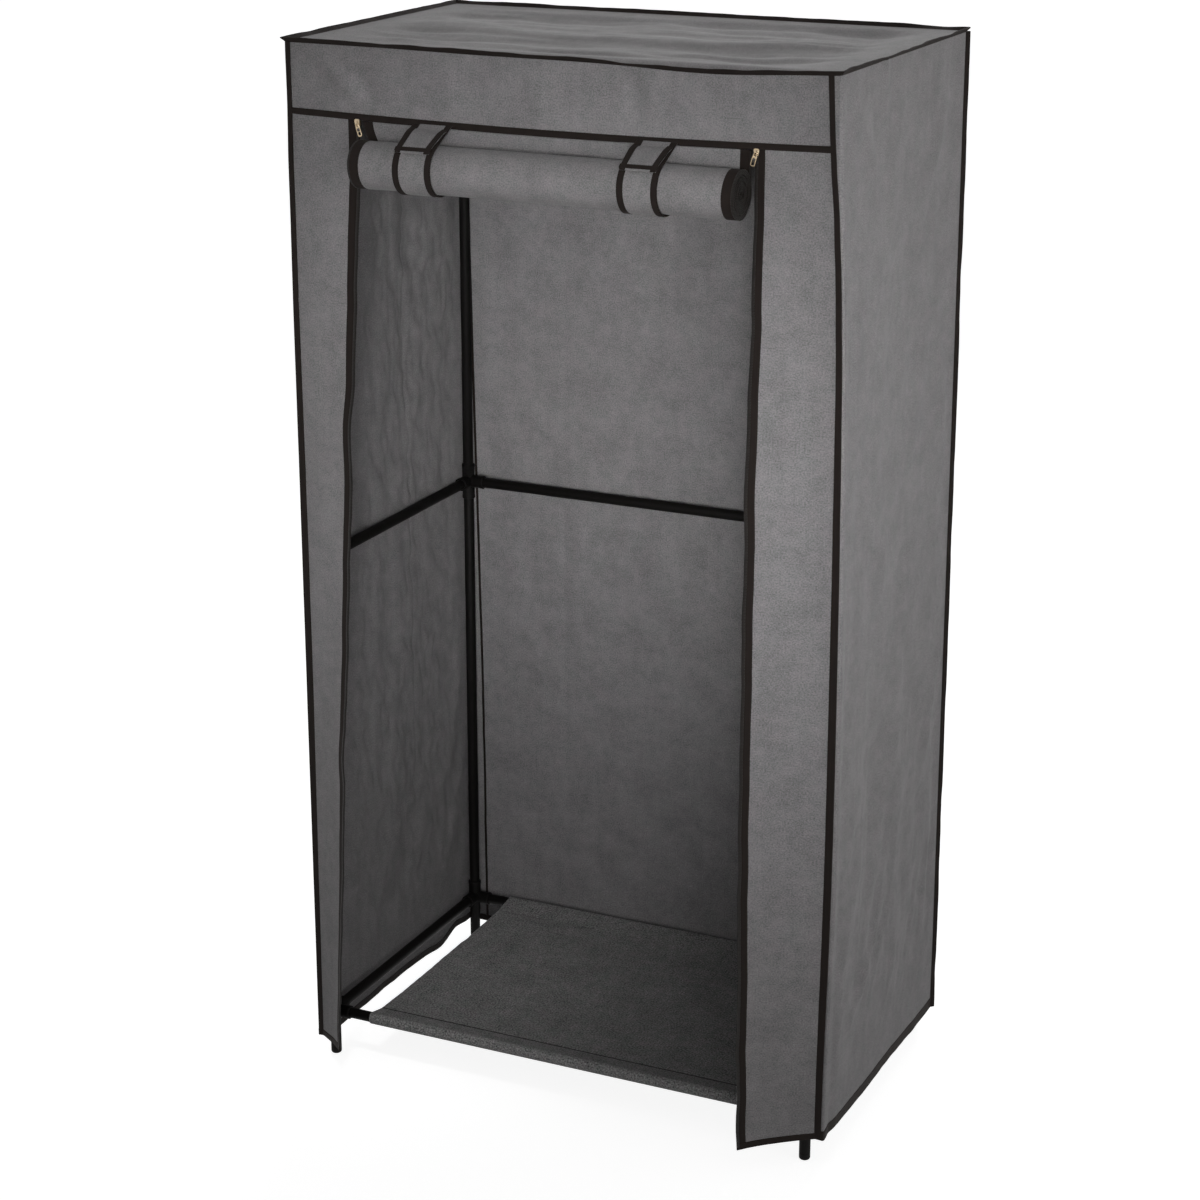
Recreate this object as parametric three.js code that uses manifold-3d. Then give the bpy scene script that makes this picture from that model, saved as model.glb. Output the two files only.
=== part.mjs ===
import * as THREE from "three";
import { mergeVertices } from "three/addons/utils/BufferGeometryUtils.js";
import Module from "manifold-3d";

// A portable fabric wardrobe: a rack of steel tubes in moulded connectors under a sewn cover,
// with the front door rolled up and strapped. Millimetres, +X right, +Y to the back, +Z up.

const wasm = await Module();
wasm.setup();

// Cover, measured over its edge bindings
const coverWidth = 815;
const coverDepth = 505;
const coverHeight = 1550;
const hemHeight = 35;
const clothThick = 1.5;
const frontBandHeight = 96;

// Edge bindings
const bindingWidth = 10;
const rimWidth = 6;
const bindingDepth = 4;
const bindingProud = 1;
const seamBindingWidth = 10;

// Rack
const tubeDiameter = 16;
const tubeWall = 0.6;
const tubeInset = 20;
const bottomLevel = 73;
const middleLevel = 799;
const connectorWall = 2;
const connectorArm = 28;
const footRounding = 3.5;

// Clearance between pieces that touch or slide
const fit = 0.3;
const overrun = 1;

// Shelf cloth
const shelfSideGap = 54;
const shelfSeamReach = 28;
const shelfSag = 6;
const shelfThick = 1.6;
const shelfLoopAngle = 60;

// Front flaps with their halves of the zips
const flapWidth = 115.5;
const zipTapeWidth = 17;
const chainWidth = 4;
const chainThick = 3;
const rightFlap = { side: 1, swing: 38.5, drawIn: 0, rise: 4, buckle: 3 };
const leftFlap = { side: -1, swing: 42.5, drawIn: 29, rise: 18, buckle: 7 };

// Rolled door
const rollDiameter = 69;
const rollHang = 27.5;
const rollSetBack = 6.5;
const rollCore = 4;

// Straps that hold the roll
const strapWidth = 58;
const strapSpreadShare = 0.567;
const strapOffsetShare = 0.022;
const strapThick = 1.5;
const strapEndAngle = 426;
const tabEndAngle = 42;
const tabSteps = 3;

// Zip sliders and their pulls
const sliderWidth = 8;
const sliderHeight = 10;
const sliderPlate = 1.2;
const sliderWeb = 1.5;
const bridgeWidth = 2;
const bridgeThick = 1.2;
const bridgeHeight = 7;
const pullWidth = 7;
const pullLength = 20;
const pullThick = 1.2;
const pullPlayShare = 0.85;
const pullHoleDiameter = 3.4;

// Facets
const roundSides = 12;
const turnSteps = 16;
const longSteps = 18;
const sagSteps = 8;
const footSteps = 3;
const tiny = 1e-3;

// Derived sizes and places
const tubeRadius = tubeDiameter / 2;
const socketRadius = tubeRadius + fit;
const connectorRadius = socketRadius + connectorWall;
const socketFloor = socketRadius + connectorWall;
const frameX = coverWidth / 2 - tubeInset;
const frameY = coverDepth / 2 - tubeInset;
const topCloth = coverHeight - bindingProud;
const topLevel = topCloth - clothThick - fit - connectorRadius;
const seamLevel = coverHeight - frontBandHeight;
const seamBottom = seamLevel - seamBindingWidth / 2;
const seamTop = seamLevel + seamBindingWidth / 2;
const frontCloth = -coverDepth / 2 + bindingProud;
const frontMiddle = frontCloth + clothThick / 2;
const flapPivot = coverWidth / 2 - bindingWidth;
const zipEdge = coverWidth / 2 - flapWidth;
const bindingBack = bindingProud + clothThick + bindingProud;

const frameBlack = new THREE.MeshStandardMaterial({ color: 0x12110f, roughness: 0.45, metalness: 0.3 });
const plasticBlack = new THREE.MeshStandardMaterial({ color: 0x100f0e, roughness: 0.6, metalness: 0 });
const clothGrey = new THREE.MeshStandardMaterial({ color: 0x6b686a, roughness: 0.95, metalness: 0 });
const shelfGrey = new THREE.MeshStandardMaterial({ color: 0x3b3b3c, roughness: 0.95, metalness: 0 });
const tapeBlack = new THREE.MeshStandardMaterial({ color: 0x241f1c, roughness: 0.9, metalness: 0 });
const zipMetal = new THREE.MeshStandardMaterial({ color: 0xc9bda3, roughness: 0.3, metalness: 1 });

const wardrobe = new THREE.Group();
const alongX = new THREE.Vector3(1, 0, 0);
const alongY = new THREE.Vector3(0, 1, 0);
const alongZ = new THREE.Vector3(0, 0, 1);

function add(name, geometry, material) {
  const mesh = new THREE.Mesh(geometry, material);
  mesh.name = name;
  wardrobe.add(mesh);
}

// Booleans
function solid(geometry) {
  const bare = geometry.clone();
  bare.deleteAttribute("normal");
  bare.deleteAttribute("uv");
  const merged = mergeVertices(bare, tiny);
  const triVerts = new Uint32Array(merged.index.array);
  const vertProperties = merged.attributes.position.array;
  return new wasm.Manifold(new wasm.Mesh({ numProp: 3, vertProperties, triVerts }));
}

function toGeometry(shape) {
  const mesh = shape.getMesh();
  const geometry = new THREE.BufferGeometry();
  geometry.setAttribute("position", new THREE.BufferAttribute(new Float32Array(mesh.vertProperties), 3));
  geometry.setIndex(new THREE.BufferAttribute(new Uint32Array(mesh.triVerts), 1));
  return geometry;
}

const joinAll = (geometries) => geometries.map(solid).reduce((a, b) => a.add(b));
const cutAll = (body, cutters) => cutters.map(solid).reduce((a, b) => a.subtract(b), body);

// A box between two corners
function block(low, high) {
  const size = high.map((value, i) => value - low[i]);
  const centre = high.map((value, i) => (value + low[i]) / 2);
  return new THREE.BoxGeometry(...size).translate(...centre);
}

// A round bar from a point along a direction
function roundBar(radius, start, axis, length) {
  const bar = new THREE.CylinderGeometry(radius, radius, length, roundSides);
  bar.translate(0, length / 2, 0);
  bar.applyQuaternion(new THREE.Quaternion().setFromUnitVectors(alongY, axis));
  return bar.translate(start.x, start.y, start.z);
}

// An outline in Y and Z, carried along X from one place to another
function extrudeAlongX(shape, fromX, toX) {
  const options = { depth: toX - fromX, bevelEnabled: false, curveSegments: roundSides };
  const slab = new THREE.ExtrudeGeometry(shape, options);
  slab.applyMatrix4(new THREE.Matrix4().makeBasis(alongY, alongZ, alongX));
  return slab.translate(fromX, 0, 0);
}

// The closed outline of a ribbon of even thickness that follows points in Y and Z
function ribbonOutline(path, thick) {
  const sides = [[], []];
  path.forEach((point, i) => {
    const before = path[Math.max(i - 1, 0)];
    const after = path[Math.min(i + 1, path.length - 1)];
    const run = after.clone().sub(before).normalize();
    const across = new THREE.Vector2(-run.y, run.x).multiplyScalar(thick / 2);
    sides[0].push(point.clone().add(across));
    sides[1].unshift(point.clone().sub(across));
  });
  return new THREE.Shape([...sides[0], ...sides[1]]);
}

// A closed sheet around a middle surface given over two shares from 0 to 1
function sheetSolid(surfaceAt, stepsA, stepsB, thickAt) {
  const row = stepsB + 1;
  const positions = [];
  for (const face of [1, -1]) {
    for (let a = 0; a <= stepsA; a++) {
      for (let b = 0; b <= stepsB; b++) {
        const shareA = a / stepsA;
        const shareB = b / stepsB;
        const middle = surfaceAt(shareA, shareB);
        const runA = surfaceAt(shareA + tiny, shareB).sub(surfaceAt(shareA - tiny, shareB));
        const runB = surfaceAt(shareA, shareB + tiny).sub(surfaceAt(shareA, shareB - tiny));
        const out = runA.cross(runB).normalize().multiplyScalar((face * thickAt(shareA)) / 2);
        positions.push(...middle.add(out).toArray());
      }
    }
  }
  const back = (stepsA + 1) * row;
  const index = [];
  const quad = (p, q, r, s) => index.push(p, q, r, p, r, s);
  for (let a = 0; a < stepsA; a++) {
    for (let b = 0; b < stepsB; b++) {
      const p = a * row + b;
      quad(p, p + row, p + row + 1, p + 1);
      quad(back + p, back + p + 1, back + p + row + 1, back + p + row);
    }
  }
  for (let a = 0; a < stepsA; a++) {
    const first = a * row;
    const last = first + stepsB;
    quad(first, back + first, back + first + row, first + row);
    quad(last, last + row, back + last + row, back + last);
  }
  for (let b = 0; b < stepsB; b++) {
    const last = stepsA * row + b;
    quad(b, b + 1, back + b + 1, back + b);
    quad(last, back + last, back + last + 1, last + 1);
  }
  const geometry = new THREE.BufferGeometry();
  geometry.setAttribute("position", new THREE.Float32BufferAttribute(positions, 3));
  geometry.setIndex(index);
  if (solid(geometry).volume() < 0) index.reverse();
  return geometry.setIndex(index);
}

// Rack: connectors
function connectorBody(centre, arms) {
  const hub = new THREE.SphereGeometry(connectorRadius, roundSides, roundSides / 2);
  hub.rotateX(Math.PI / 2).translate(centre.x, centre.y, centre.z);
  const sleeves = arms.map((arm) => roundBar(connectorRadius, centre, arm, connectorArm));
  return joinAll([hub, ...sleeves]);
}

function sockets(centre, arms) {
  return arms.map((arm) => {
    const floor = centre.clone().addScaledVector(arm, socketFloor);
    return roundBar(socketRadius, floor, arm, connectorArm - socketFloor + overrun);
  });
}

function footLeg(centre) {
  const points = [new THREE.Vector2(0, 0)];
  for (let i = 0; i <= footSteps; i++) {
    const turn = ((i / footSteps) * Math.PI) / 2;
    const radius = tubeRadius - footRounding + footRounding * Math.sin(turn);
    points.push(new THREE.Vector2(radius, footRounding - footRounding * Math.cos(turn)));
  }
  points.push(new THREE.Vector2(tubeRadius, bottomLevel), new THREE.Vector2(0, bottomLevel));
  const leg = new THREE.LatheGeometry(points, roundSides);
  return leg.rotateX(Math.PI / 2).translate(centre.x, centre.y, 0);
}

// Rack: a tube plugged into the sockets of two connectors
function addTube(name, from, to) {
  const axis = to.clone().sub(from).normalize();
  const start = from.clone().addScaledVector(axis, socketFloor + fit);
  const length = from.distanceTo(to) - (socketFloor + fit) * 2;
  const boreStart = start.clone().addScaledVector(axis, -overrun);
  const bore = roundBar(tubeRadius - tubeWall, boreStart, axis, length + overrun * 2);
  const wall = cutAll(solid(roundBar(tubeRadius, start, axis, length)), [bore]);
  add(name, toGeometry(wall), frameBlack);
}

const corners = {
  front_left: new THREE.Vector2(-1, -1),
  front_right: new THREE.Vector2(1, -1),
  back_left: new THREE.Vector2(-1, 1),
  back_right: new THREE.Vector2(1, 1),
};
const joint = (corner, level) => new THREE.Vector3(corner.x * frameX, corner.y * frameY, level);

for (const [place, corner] of Object.entries(corners)) {
  const inwardX = alongX.clone().multiplyScalar(-corner.x);
  const inwardY = alongY.clone().multiplyScalar(-corner.y);
  const down = alongZ.clone().negate();
  const bottom = joint(corner, bottomLevel);
  const middle = joint(corner, middleLevel);
  const top = joint(corner, topLevel);
  const bottomArms = [alongZ, inwardX, inwardY];
  const middleArms = corner.y > 0 ? [alongZ, down, inwardX, inwardY] : [alongZ, down, inwardY];
  const topArms = [down, inwardX, inwardY];
  const footed = connectorBody(bottom, bottomArms).add(solid(footLeg(bottom)));
  add(`bottom_connector_${place}`, toGeometry(cutAll(footed, sockets(bottom, bottomArms))), plasticBlack);
  const tee = cutAll(connectorBody(middle, middleArms), sockets(middle, middleArms));
  add(`middle_connector_${place}`, toGeometry(tee), plasticBlack);
  const elbow = cutAll(connectorBody(top, topArms), sockets(top, topArms));
  add(`top_connector_${place}`, toGeometry(elbow), plasticBlack);
  addTube(`lower_post_${place}`, bottom, middle);
  addTube(`upper_post_${place}`, middle, top);
}

for (const [tier, level] of Object.entries({ bottom: bottomLevel, top: topLevel })) {
  addTube(`${tier}_tube_front`, joint(corners.front_left, level), joint(corners.front_right, level));
  addTube(`${tier}_tube_back`, joint(corners.back_left, level), joint(corners.back_right, level));
}
addTube("middle_tube_back", joint(corners.back_left, middleLevel), joint(corners.back_right, middleLevel));

const railEnds = {};
for (const side of ["left", "right"]) {
  const front = corners[`front_${side}`];
  const back = corners[`back_${side}`];
  addTube(`bottom_tube_${side}`, joint(front, bottomLevel), joint(back, bottomLevel));
  addTube(`middle_tube_${side}`, joint(front, middleLevel), joint(back, middleLevel));
  const centre = new THREE.Vector3(front.x * frameX, 0, topLevel);
  railEnds[side] = centre;
  const arms = [alongY, alongY.clone().negate(), alongX.clone().multiplyScalar(-front.x)];
  const holder = cutAll(connectorBody(centre, arms), sockets(centre, arms));
  add(`rail_connector_${side}`, toGeometry(holder), plasticBlack);
  addTube(`top_tube_${side}_front`, joint(front, topLevel), centre);
  addTube(`top_tube_${side}_back`, centre, joint(back, topLevel));
}
addTube("hanging_rail", railEnds.left, railEnds.right);

// Shelf cloth: a sagging panel with a sleeve sewn round the front and the back tube
function shelfOutline() {
  const outer = socketRadius + shelfThick;
  const loopOpening = THREE.MathUtils.degToRad(shelfLoopAngle);
  const seamY = frameY - shelfSeamReach;
  const panelZ = (y) => bottomLevel - shelfSag * (1 - (y / seamY) ** 2);
  const outline = [];
  for (let i = 0; i <= roundSides; i++) {
    const turn = loopOpening + ((Math.PI - loopOpening) * 2 * i) / roundSides;
    outline.push(new THREE.Vector2(-frameY + outer * Math.cos(turn), bottomLevel + outer * Math.sin(turn)));
  }
  for (let i = 0; i <= sagSteps; i++) {
    const y = seamY * ((2 * i) / sagSteps - 1);
    outline.push(new THREE.Vector2(y, panelZ(y) - shelfThick / 2));
  }
  for (let i = 0; i <= roundSides; i++) {
    const turn = loopOpening - Math.PI + ((Math.PI - loopOpening) * 2 * i) / roundSides;
    outline.push(new THREE.Vector2(frameY + outer * Math.cos(turn), bottomLevel + outer * Math.sin(turn)));
  }
  for (let i = sagSteps; i >= 0; i--) {
    const y = seamY * ((2 * i) / sagSteps - 1);
    outline.push(new THREE.Vector2(y, panelZ(y) + shelfThick / 2));
  }
  const shape = new THREE.Shape(outline);
  for (const end of [-1, 1]) {
    const sleeve = new THREE.Path();
    const tip = new THREE.Vector2(end * (seamY + shelfThick * 2), bottomLevel);
    const from = end < 0 ? loopOpening : Math.PI + loopOpening;
    sleeve.moveTo(tip.x, tip.y);
    sleeve.absarc(end * frameY, bottomLevel, socketRadius, from, from + (Math.PI - loopOpening) * 2, false);
    sleeve.lineTo(tip.x, tip.y);
    shape.holes.push(sleeve);
  }
  return shape;
}
const shelfHalf = frameX - shelfSideGap;
add("shelf_cloth", extrudeAlongX(shelfOutline(), -shelfHalf, shelfHalf), shelfGrey);

// Cover: the panels between the bindings
const panelTop = coverHeight - rimWidth - fit;
const panelBottom = hemHeight + bindingWidth + fit;
const foldShare = 0.5;
const sideFolds = 5;
const backFolds = 7;

const evenCloth = () => clothThick;
const blend = (from, to, share) => from + (to - from) * share;

// Shallow vertical folds that start below the top edge and open towards the hem
function fold(across, down, folds) {
  const opening = Math.sin((Math.PI / 2) * down);
  return clothThick * foldShare * opening * Math.sin(Math.PI * across) * Math.sin(Math.PI * folds * across);
}

function sidePanel(side) {
  const outside = side * (coverWidth / 2 - bindingProud - clothThick / 2);
  const reach = coverDepth / 2 - bindingDepth - fit;
  return sheetSolid((across, down) => {
    const x = outside - side * (fold(across, down, sideFolds) + clothThick * foldShare * down);
    return new THREE.Vector3(x, blend(-reach, reach, across), blend(panelTop, panelBottom, down));
  }, 12, 6, evenCloth);
}

function backPanel() {
  const outside = coverDepth / 2 - bindingProud - clothThick / 2;
  const reach = coverWidth / 2 - bindingWidth - fit;
  return sheetSolid((across, down) => {
    const y = outside - fold(across, down, backFolds);
    return new THREE.Vector3(blend(-reach, reach, across), y, blend(panelTop, panelBottom, down));
  }, 14, 6, evenCloth);
}

// The top panel dips a little between the rim and the hanging rail
function topPanel() {
  const reachX = coverWidth / 2 - rimWidth - fit;
  const reachY = coverDepth / 2 - rimWidth - fit;
  return sheetSolid((across, along) => {
    const dip = clothThick * 2 * Math.sin(Math.PI * across) * Math.sin(Math.PI * 2 * along) ** 2;
    const z = topCloth - clothThick / 2 - dip;
    return new THREE.Vector3(blend(-reachX, reachX, across), blend(-reachY, reachY, along), z);
  }, 8, 8, evenCloth);
}

function frontBand() {
  const reach = coverWidth / 2 - bindingWidth - fit;
  return block([-reach, frontCloth, seamTop + fit], [reach, frontCloth + clothThick, panelTop]);
}

add("cover_left_panel", sidePanel(-1), clothGrey);
add("cover_right_panel", sidePanel(1), clothGrey);
add("cover_back_panel", backPanel(), clothGrey);
add("cover_top_panel", topPanel(), clothGrey);
add("cover_front_band", frontBand(), clothGrey);

// Cover: one binding round the rim, down the corners, round the hem and along the front seam
function edgeBinding() {
  const halfW = coverWidth / 2;
  const halfD = coverDepth / 2;
  const rimBottom = coverHeight - rimWidth;
  const hemTop = hemHeight + bindingWidth;
  const bars = [
    block([-halfW, -halfD, rimBottom], [halfW, -halfD + rimWidth, coverHeight]),
    block([-halfW, halfD - rimWidth, rimBottom], [halfW, halfD, coverHeight]),
    block([-halfW, -halfD, seamBottom], [halfW, -halfD + bindingBack, seamTop]),
    block([-halfW, halfD - bindingBack, hemHeight], [halfW, halfD, hemTop]),
  ];
  for (const side of [-1, 1]) {
    const outer = side * halfW;
    const spanX = (inner) => [Math.min(outer, inner), Math.max(outer, inner)];
    const [rimLow, rimHigh] = spanX(side * (halfW - rimWidth));
    const [hemLow, hemHigh] = spanX(side * (halfW - bindingBack));
    const [cornerLow, cornerHigh] = spanX(side * flapPivot);
    bars.push(block([rimLow, -halfD, rimBottom], [rimHigh, halfD, coverHeight]));
    bars.push(block([hemLow, -halfD, hemHeight], [hemHigh, halfD, hemTop]));
    bars.push(block([cornerLow, -halfD, hemHeight], [cornerHigh, -halfD + bindingDepth, coverHeight]));
    bars.push(block([cornerLow, halfD - bindingDepth, hemHeight], [cornerHigh, halfD, coverHeight]));
  }
  return joinAll(bars);
}
add("edge_binding", toGeometry(edgeBinding()), tapeBlack);

// Front flaps: a surface that turns outwards about the corner binding as it goes down
const flapTop = seamBottom - fit;
const flapDrop = flapTop - hemHeight;
const cornerTurnShare = 0.8;
const straightShare = 0.06;
const bucklePlaceShares = [0.31, 0.66];
const buckleSpreadShare = 0.03;
const drawInPower = 0.7;
const leastSwing = 1e-6;

function flapSurface(flap, reach, drop) {
  const down = Math.max(drop / flapDrop, 0);
  const opened = Math.max(down - straightShare, 0) / (1 - straightShare);
  const swing = THREE.MathUtils.degToRad(flap.swing) * opened + leastSwing;
  const width = flapWidth - bindingWidth;
  const share = reach / width;
  const narrowed = width - flap.drawIn * opened ** drawInPower;
  const startTurn = swing * cornerTurnShare;
  const turn = startTurn + swing * (1 - cornerTurnShare) * 2 * share;
  const radius = narrowed / (swing * (1 - cornerTurnShare) * 2);
  const run = radius * (Math.sin(turn) - Math.sin(startTurn));
  const forward = radius * (Math.cos(startTurn) - Math.cos(turn));
  const buckles = bucklePlaceShares.map((place) => Math.exp(-(((down - place) / buckleSpreadShare) ** 2)));
  const buckle = flap.buckle * share ** 2 * buckles.reduce((a, b) => a + b);
  const z = flapTop - drop + flap.rise * share * opened;
  return new THREE.Vector3(flap.side * (flapPivot - run), frontMiddle - forward - buckle, z);
}

function flapPatch(flap, fromReach, toReach, fromDrop, toDrop, stepsA, stepsB, thickAt) {
  return sheetSolid((across, down) => {
    return flapSurface(flap, blend(fromReach, toReach, across), blend(fromDrop, toDrop, down));
  }, stepsA, stepsB, thickAt);
}

function addFlap(name, flap) {
  const start = fit + clothThick / 2;
  const hemStart = fit + bindingBack / 2;
  const edge = flapWidth - bindingWidth;
  const tapeStart = edge - zipTapeWidth;
  const bottom = flapDrop - bindingWidth;
  const chainShare = 1 - chainWidth / zipTapeWidth;
  const tapeThick = (across) => (across > chainShare ? chainThick : clothThick);
  const panel = flapPatch(flap, start, tapeStart - fit, 0, bottom - fit, 4, longSteps, evenCloth);
  add(`front_flap_${name}`, panel, clothGrey);
  const tape = flapPatch(flap, tapeStart, edge, 0, bottom - fit, 5, longSteps, tapeThick);
  add(`zip_tape_${name}`, tape, tapeBlack);
  const hem = flapPatch(flap, hemStart, edge, bottom, flapDrop, 6, 1, () => bindingBack);
  add(`flap_hem_binding_${name}`, hem, tapeBlack);
}
addFlap("left", leftFlap);
addFlap("right", rightFlap);

// Rolled door: one sheet that hangs from the seam and winds in from the outside of the roll
const rollRadius = rollDiameter / 2;
const rollY = frontCloth + rollSetBack - rollRadius;
const rollZ = seamLevel - rollHang - rollRadius;
const doorHalf = zipEdge - sliderWeb - fit * 2;
const doorLength = flapDrop;

function onCircle(radius, turn) {
  return new THREE.Vector2(rollY - radius * Math.cos(turn), rollZ + radius * Math.sin(turn));
}

// The turn, from the front over the top, at which a line from a point touches a circle round the roll
function touchTurn(point, radius, behind) {
  const forward = rollY - point.x;
  const up = point.y - rollZ;
  const away = Math.hypot(forward, up);
  return Math.atan2(up, forward) + (behind ? 1 : -1) * Math.acos(radius / away);
}

function doorPath() {
  const start = new THREE.Vector2(frontMiddle, seamBottom - fit);
  const outer = rollRadius - clothThick / 2;
  const touch = touchTurn(start, outer, true);
  const hanging = start.distanceTo(onCircle(outer, touch));
  const pitch = (Math.PI * (outer ** 2 - rollCore ** 2)) / (doorLength - hanging);
  const turns = (outer - rollCore) / pitch;
  const path = [start];
  for (let i = 0; i <= Math.round(turns * turnSteps); i++) {
    const turn = touch + (i / turnSteps) * Math.PI * 2;
    path.push(onCircle(outer - (pitch * i) / turnSteps, turn));
  }
  return path;
}
const doorShape = ribbonOutline(doorPath(), clothThick);
add("door_panel_rolled", extrudeAlongX(doorShape, -doorHalf, doorHalf), clothGrey);

// Straps: one goes behind and under the roll, and a tab comes over it from the seam
function strapPath() {
  const start = new THREE.Vector2(frontMiddle + clothThick / 2 + fit + strapThick / 2, seamBottom - fit);
  const radius = rollRadius + fit + strapThick / 2;
  const touch = touchTurn(start, radius, true);
  const endTurn = THREE.MathUtils.degToRad(strapEndAngle);
  const path = [start];
  for (let i = 0; i <= turnSteps; i++) {
    path.push(onCircle(radius, blend(touch, endTurn, i / turnSteps)));
  }
  return path;
}

function tabPath() {
  const start = new THREE.Vector2(frontCloth - bindingProud - fit - strapThick / 2, seamBottom + fit * 2);
  const radius = rollRadius + (fit + strapThick) * 2 - strapThick / 2;
  const touch = touchTurn(start, radius, false);
  const endTurn = THREE.MathUtils.degToRad(tabEndAngle);
  const path = [start];
  for (let i = 0; i <= tabSteps; i++) {
    path.push(onCircle(radius, blend(touch, endTurn, i / tabSteps)));
  }
  return path;
}

for (const [name, side] of Object.entries({ left: -1, right: 1 })) {
  const centre = zipEdge * (side * strapSpreadShare - strapOffsetShare * 2);
  const from = centre - strapWidth / 2;
  const to = centre + strapWidth / 2;
  add(`roll_strap_${name}`, extrudeAlongX(ribbonOutline(strapPath(), strapThick), from, to), clothGrey);
  add(`strap_tab_${name}`, extrudeAlongX(ribbonOutline(tabPath(), strapThick), from, to), clothGrey);
}

// Zip sliders, each clipped round the chain edge of its flap, with a pull under its bridge
const sliderZ = seamBottom - fit - sliderHeight / 2;
const plateBack = chainThick / 2 + fit;
const plateFront = plateBack + sliderPlate;
const pullAxis = plateFront + pullThick * pullPlayShare;
const bridgeBack = pullAxis + pullThick * pullPlayShare;
const bridgeFront = bridgeBack + bridgeThick;
const pullSlotWidth = bridgeWidth + fit * 5;
const pullSlotLength = Math.hypot(bridgeFront - pullAxis, bridgeHeight / 2);

// Boxes given from the zip's middle plane forwards, and from the zip's edge outwards
function zipBlock(side, inward, outward, back, front, low, high) {
  const near = side * (zipEdge + inward);
  const far = side * (zipEdge + outward);
  return block(
    [Math.min(near, far), frontMiddle - front, sliderZ + low],
    [Math.max(near, far), frontMiddle - back, sliderZ + high],
  );
}

function sliderBody(side) {
  const inner = -fit - sliderWeb;
  const outer = inner + sliderWidth;
  const half = sliderHeight / 2;
  const bridgeInner = (inner + outer - bridgeWidth) / 2;
  const bridgeOuter = bridgeInner + bridgeWidth;
  const bridgeHalf = bridgeHeight / 2;
  return joinAll([
    zipBlock(side, inner, outer, plateBack, plateFront, -half, half),
    zipBlock(side, inner, outer, -plateFront, -plateBack, -half, half),
    zipBlock(side, inner, -fit, -plateFront, plateFront, -half, half),
    zipBlock(side, bridgeInner, bridgeOuter, plateBack, bridgeFront, bridgeHalf - bridgeThick, bridgeHalf),
    zipBlock(side, bridgeInner, bridgeOuter, plateBack, bridgeFront, -bridgeHalf, bridgeThick - bridgeHalf),
    zipBlock(side, bridgeInner, bridgeOuter, bridgeBack, bridgeFront, -bridgeHalf, bridgeHalf),
  ]);
}

function pullBody(side) {
  const middle = (sliderWidth - sliderWeb * 2) / 2 - fit;
  const wide = pullWidth / 2;
  const slot = pullSlotWidth / 2;
  const rail = pullThick / 2;
  const back = pullAxis - rail;
  const front = pullAxis + rail;
  const plate = zipBlock(side, middle - wide, middle + wide, back, front, rail - pullLength, rail);
  const [eyeBack, eyeFront] = [back - overrun, front + overrun];
  const eye = zipBlock(side, middle - slot, middle + slot, eyeBack, eyeFront, -rail - pullSlotLength, -rail);
  const holeZ = sliderZ + rail - pullLength + pullHoleDiameter;
  const holeStart = new THREE.Vector3(side * (zipEdge + middle), frontMiddle - front - overrun, holeZ);
  const hole = roundBar(pullHoleDiameter / 2, holeStart, alongY, pullThick + overrun * 2);
  return cutAll(solid(plate), [eye, hole]);
}

for (const [name, side] of Object.entries({ left: -1, right: 1 })) {
  add(`zip_slider_${name}`, toGeometry(sliderBody(side)), zipMetal);
  add(`zip_pull_${name}`, toGeometry(pullBody(side)), zipMetal);
}

// The origin is on the floor, at the middle of the whole outline
const outline = new THREE.Box3().setFromObject(wardrobe);
wardrobe.position.y = -Math.round((outline.min.y + outline.max.y) / 2);

export default wardrobe;
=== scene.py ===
from functools import partial
from math import acos, atan2, ceil, cos, exp, hypot, pi, radians, sin, sqrt, tau
from types import SimpleNamespace as Settings

import bmesh
import bpy
from bmesh import ops
from mathutils import Matrix, Vector, noise


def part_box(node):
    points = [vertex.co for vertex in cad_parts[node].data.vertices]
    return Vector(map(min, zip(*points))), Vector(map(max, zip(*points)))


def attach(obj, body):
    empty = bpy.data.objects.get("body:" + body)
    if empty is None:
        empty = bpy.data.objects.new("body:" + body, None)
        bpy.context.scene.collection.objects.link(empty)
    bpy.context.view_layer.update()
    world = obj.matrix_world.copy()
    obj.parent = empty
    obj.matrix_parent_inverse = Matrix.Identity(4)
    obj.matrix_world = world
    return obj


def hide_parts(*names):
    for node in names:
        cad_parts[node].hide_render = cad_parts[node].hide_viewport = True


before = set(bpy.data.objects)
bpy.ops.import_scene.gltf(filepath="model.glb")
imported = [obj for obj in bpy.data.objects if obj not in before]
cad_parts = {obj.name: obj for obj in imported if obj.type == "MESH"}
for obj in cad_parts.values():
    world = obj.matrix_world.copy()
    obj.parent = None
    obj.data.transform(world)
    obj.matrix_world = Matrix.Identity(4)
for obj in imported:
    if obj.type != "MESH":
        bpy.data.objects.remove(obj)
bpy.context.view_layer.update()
scene = bpy.context.scene
print("frame loaded:", len(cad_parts), "CAD nodes")


def middle(node, axis):
    return sum(point[axis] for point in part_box(node)) / 2


# Places that the frame gives, in metres
sides = (("left", -1), ("right", 1))
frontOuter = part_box("cover_front_band")[0].y
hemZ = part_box("edge_binding")[0].z
flapTop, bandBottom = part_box("front_flap_left")[1].z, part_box("cover_front_band")[0].z
tubeLow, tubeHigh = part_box("bottom_tube_front")
tubeRadius = (tubeHigh.z - tubeLow.z) / 2
postX, railY = middle("bottom_tube_right", 0), middle("hanging_rail", 1)
frontPostY, backPostY = middle("bottom_tube_front", 1), middle("bottom_tube_back", 1)
bottomLevel, topLevel = middle("bottom_tube_front", 2), middle("top_tube_front", 2)
middleLevel = middle("middle_tube_back", 2)

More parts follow.
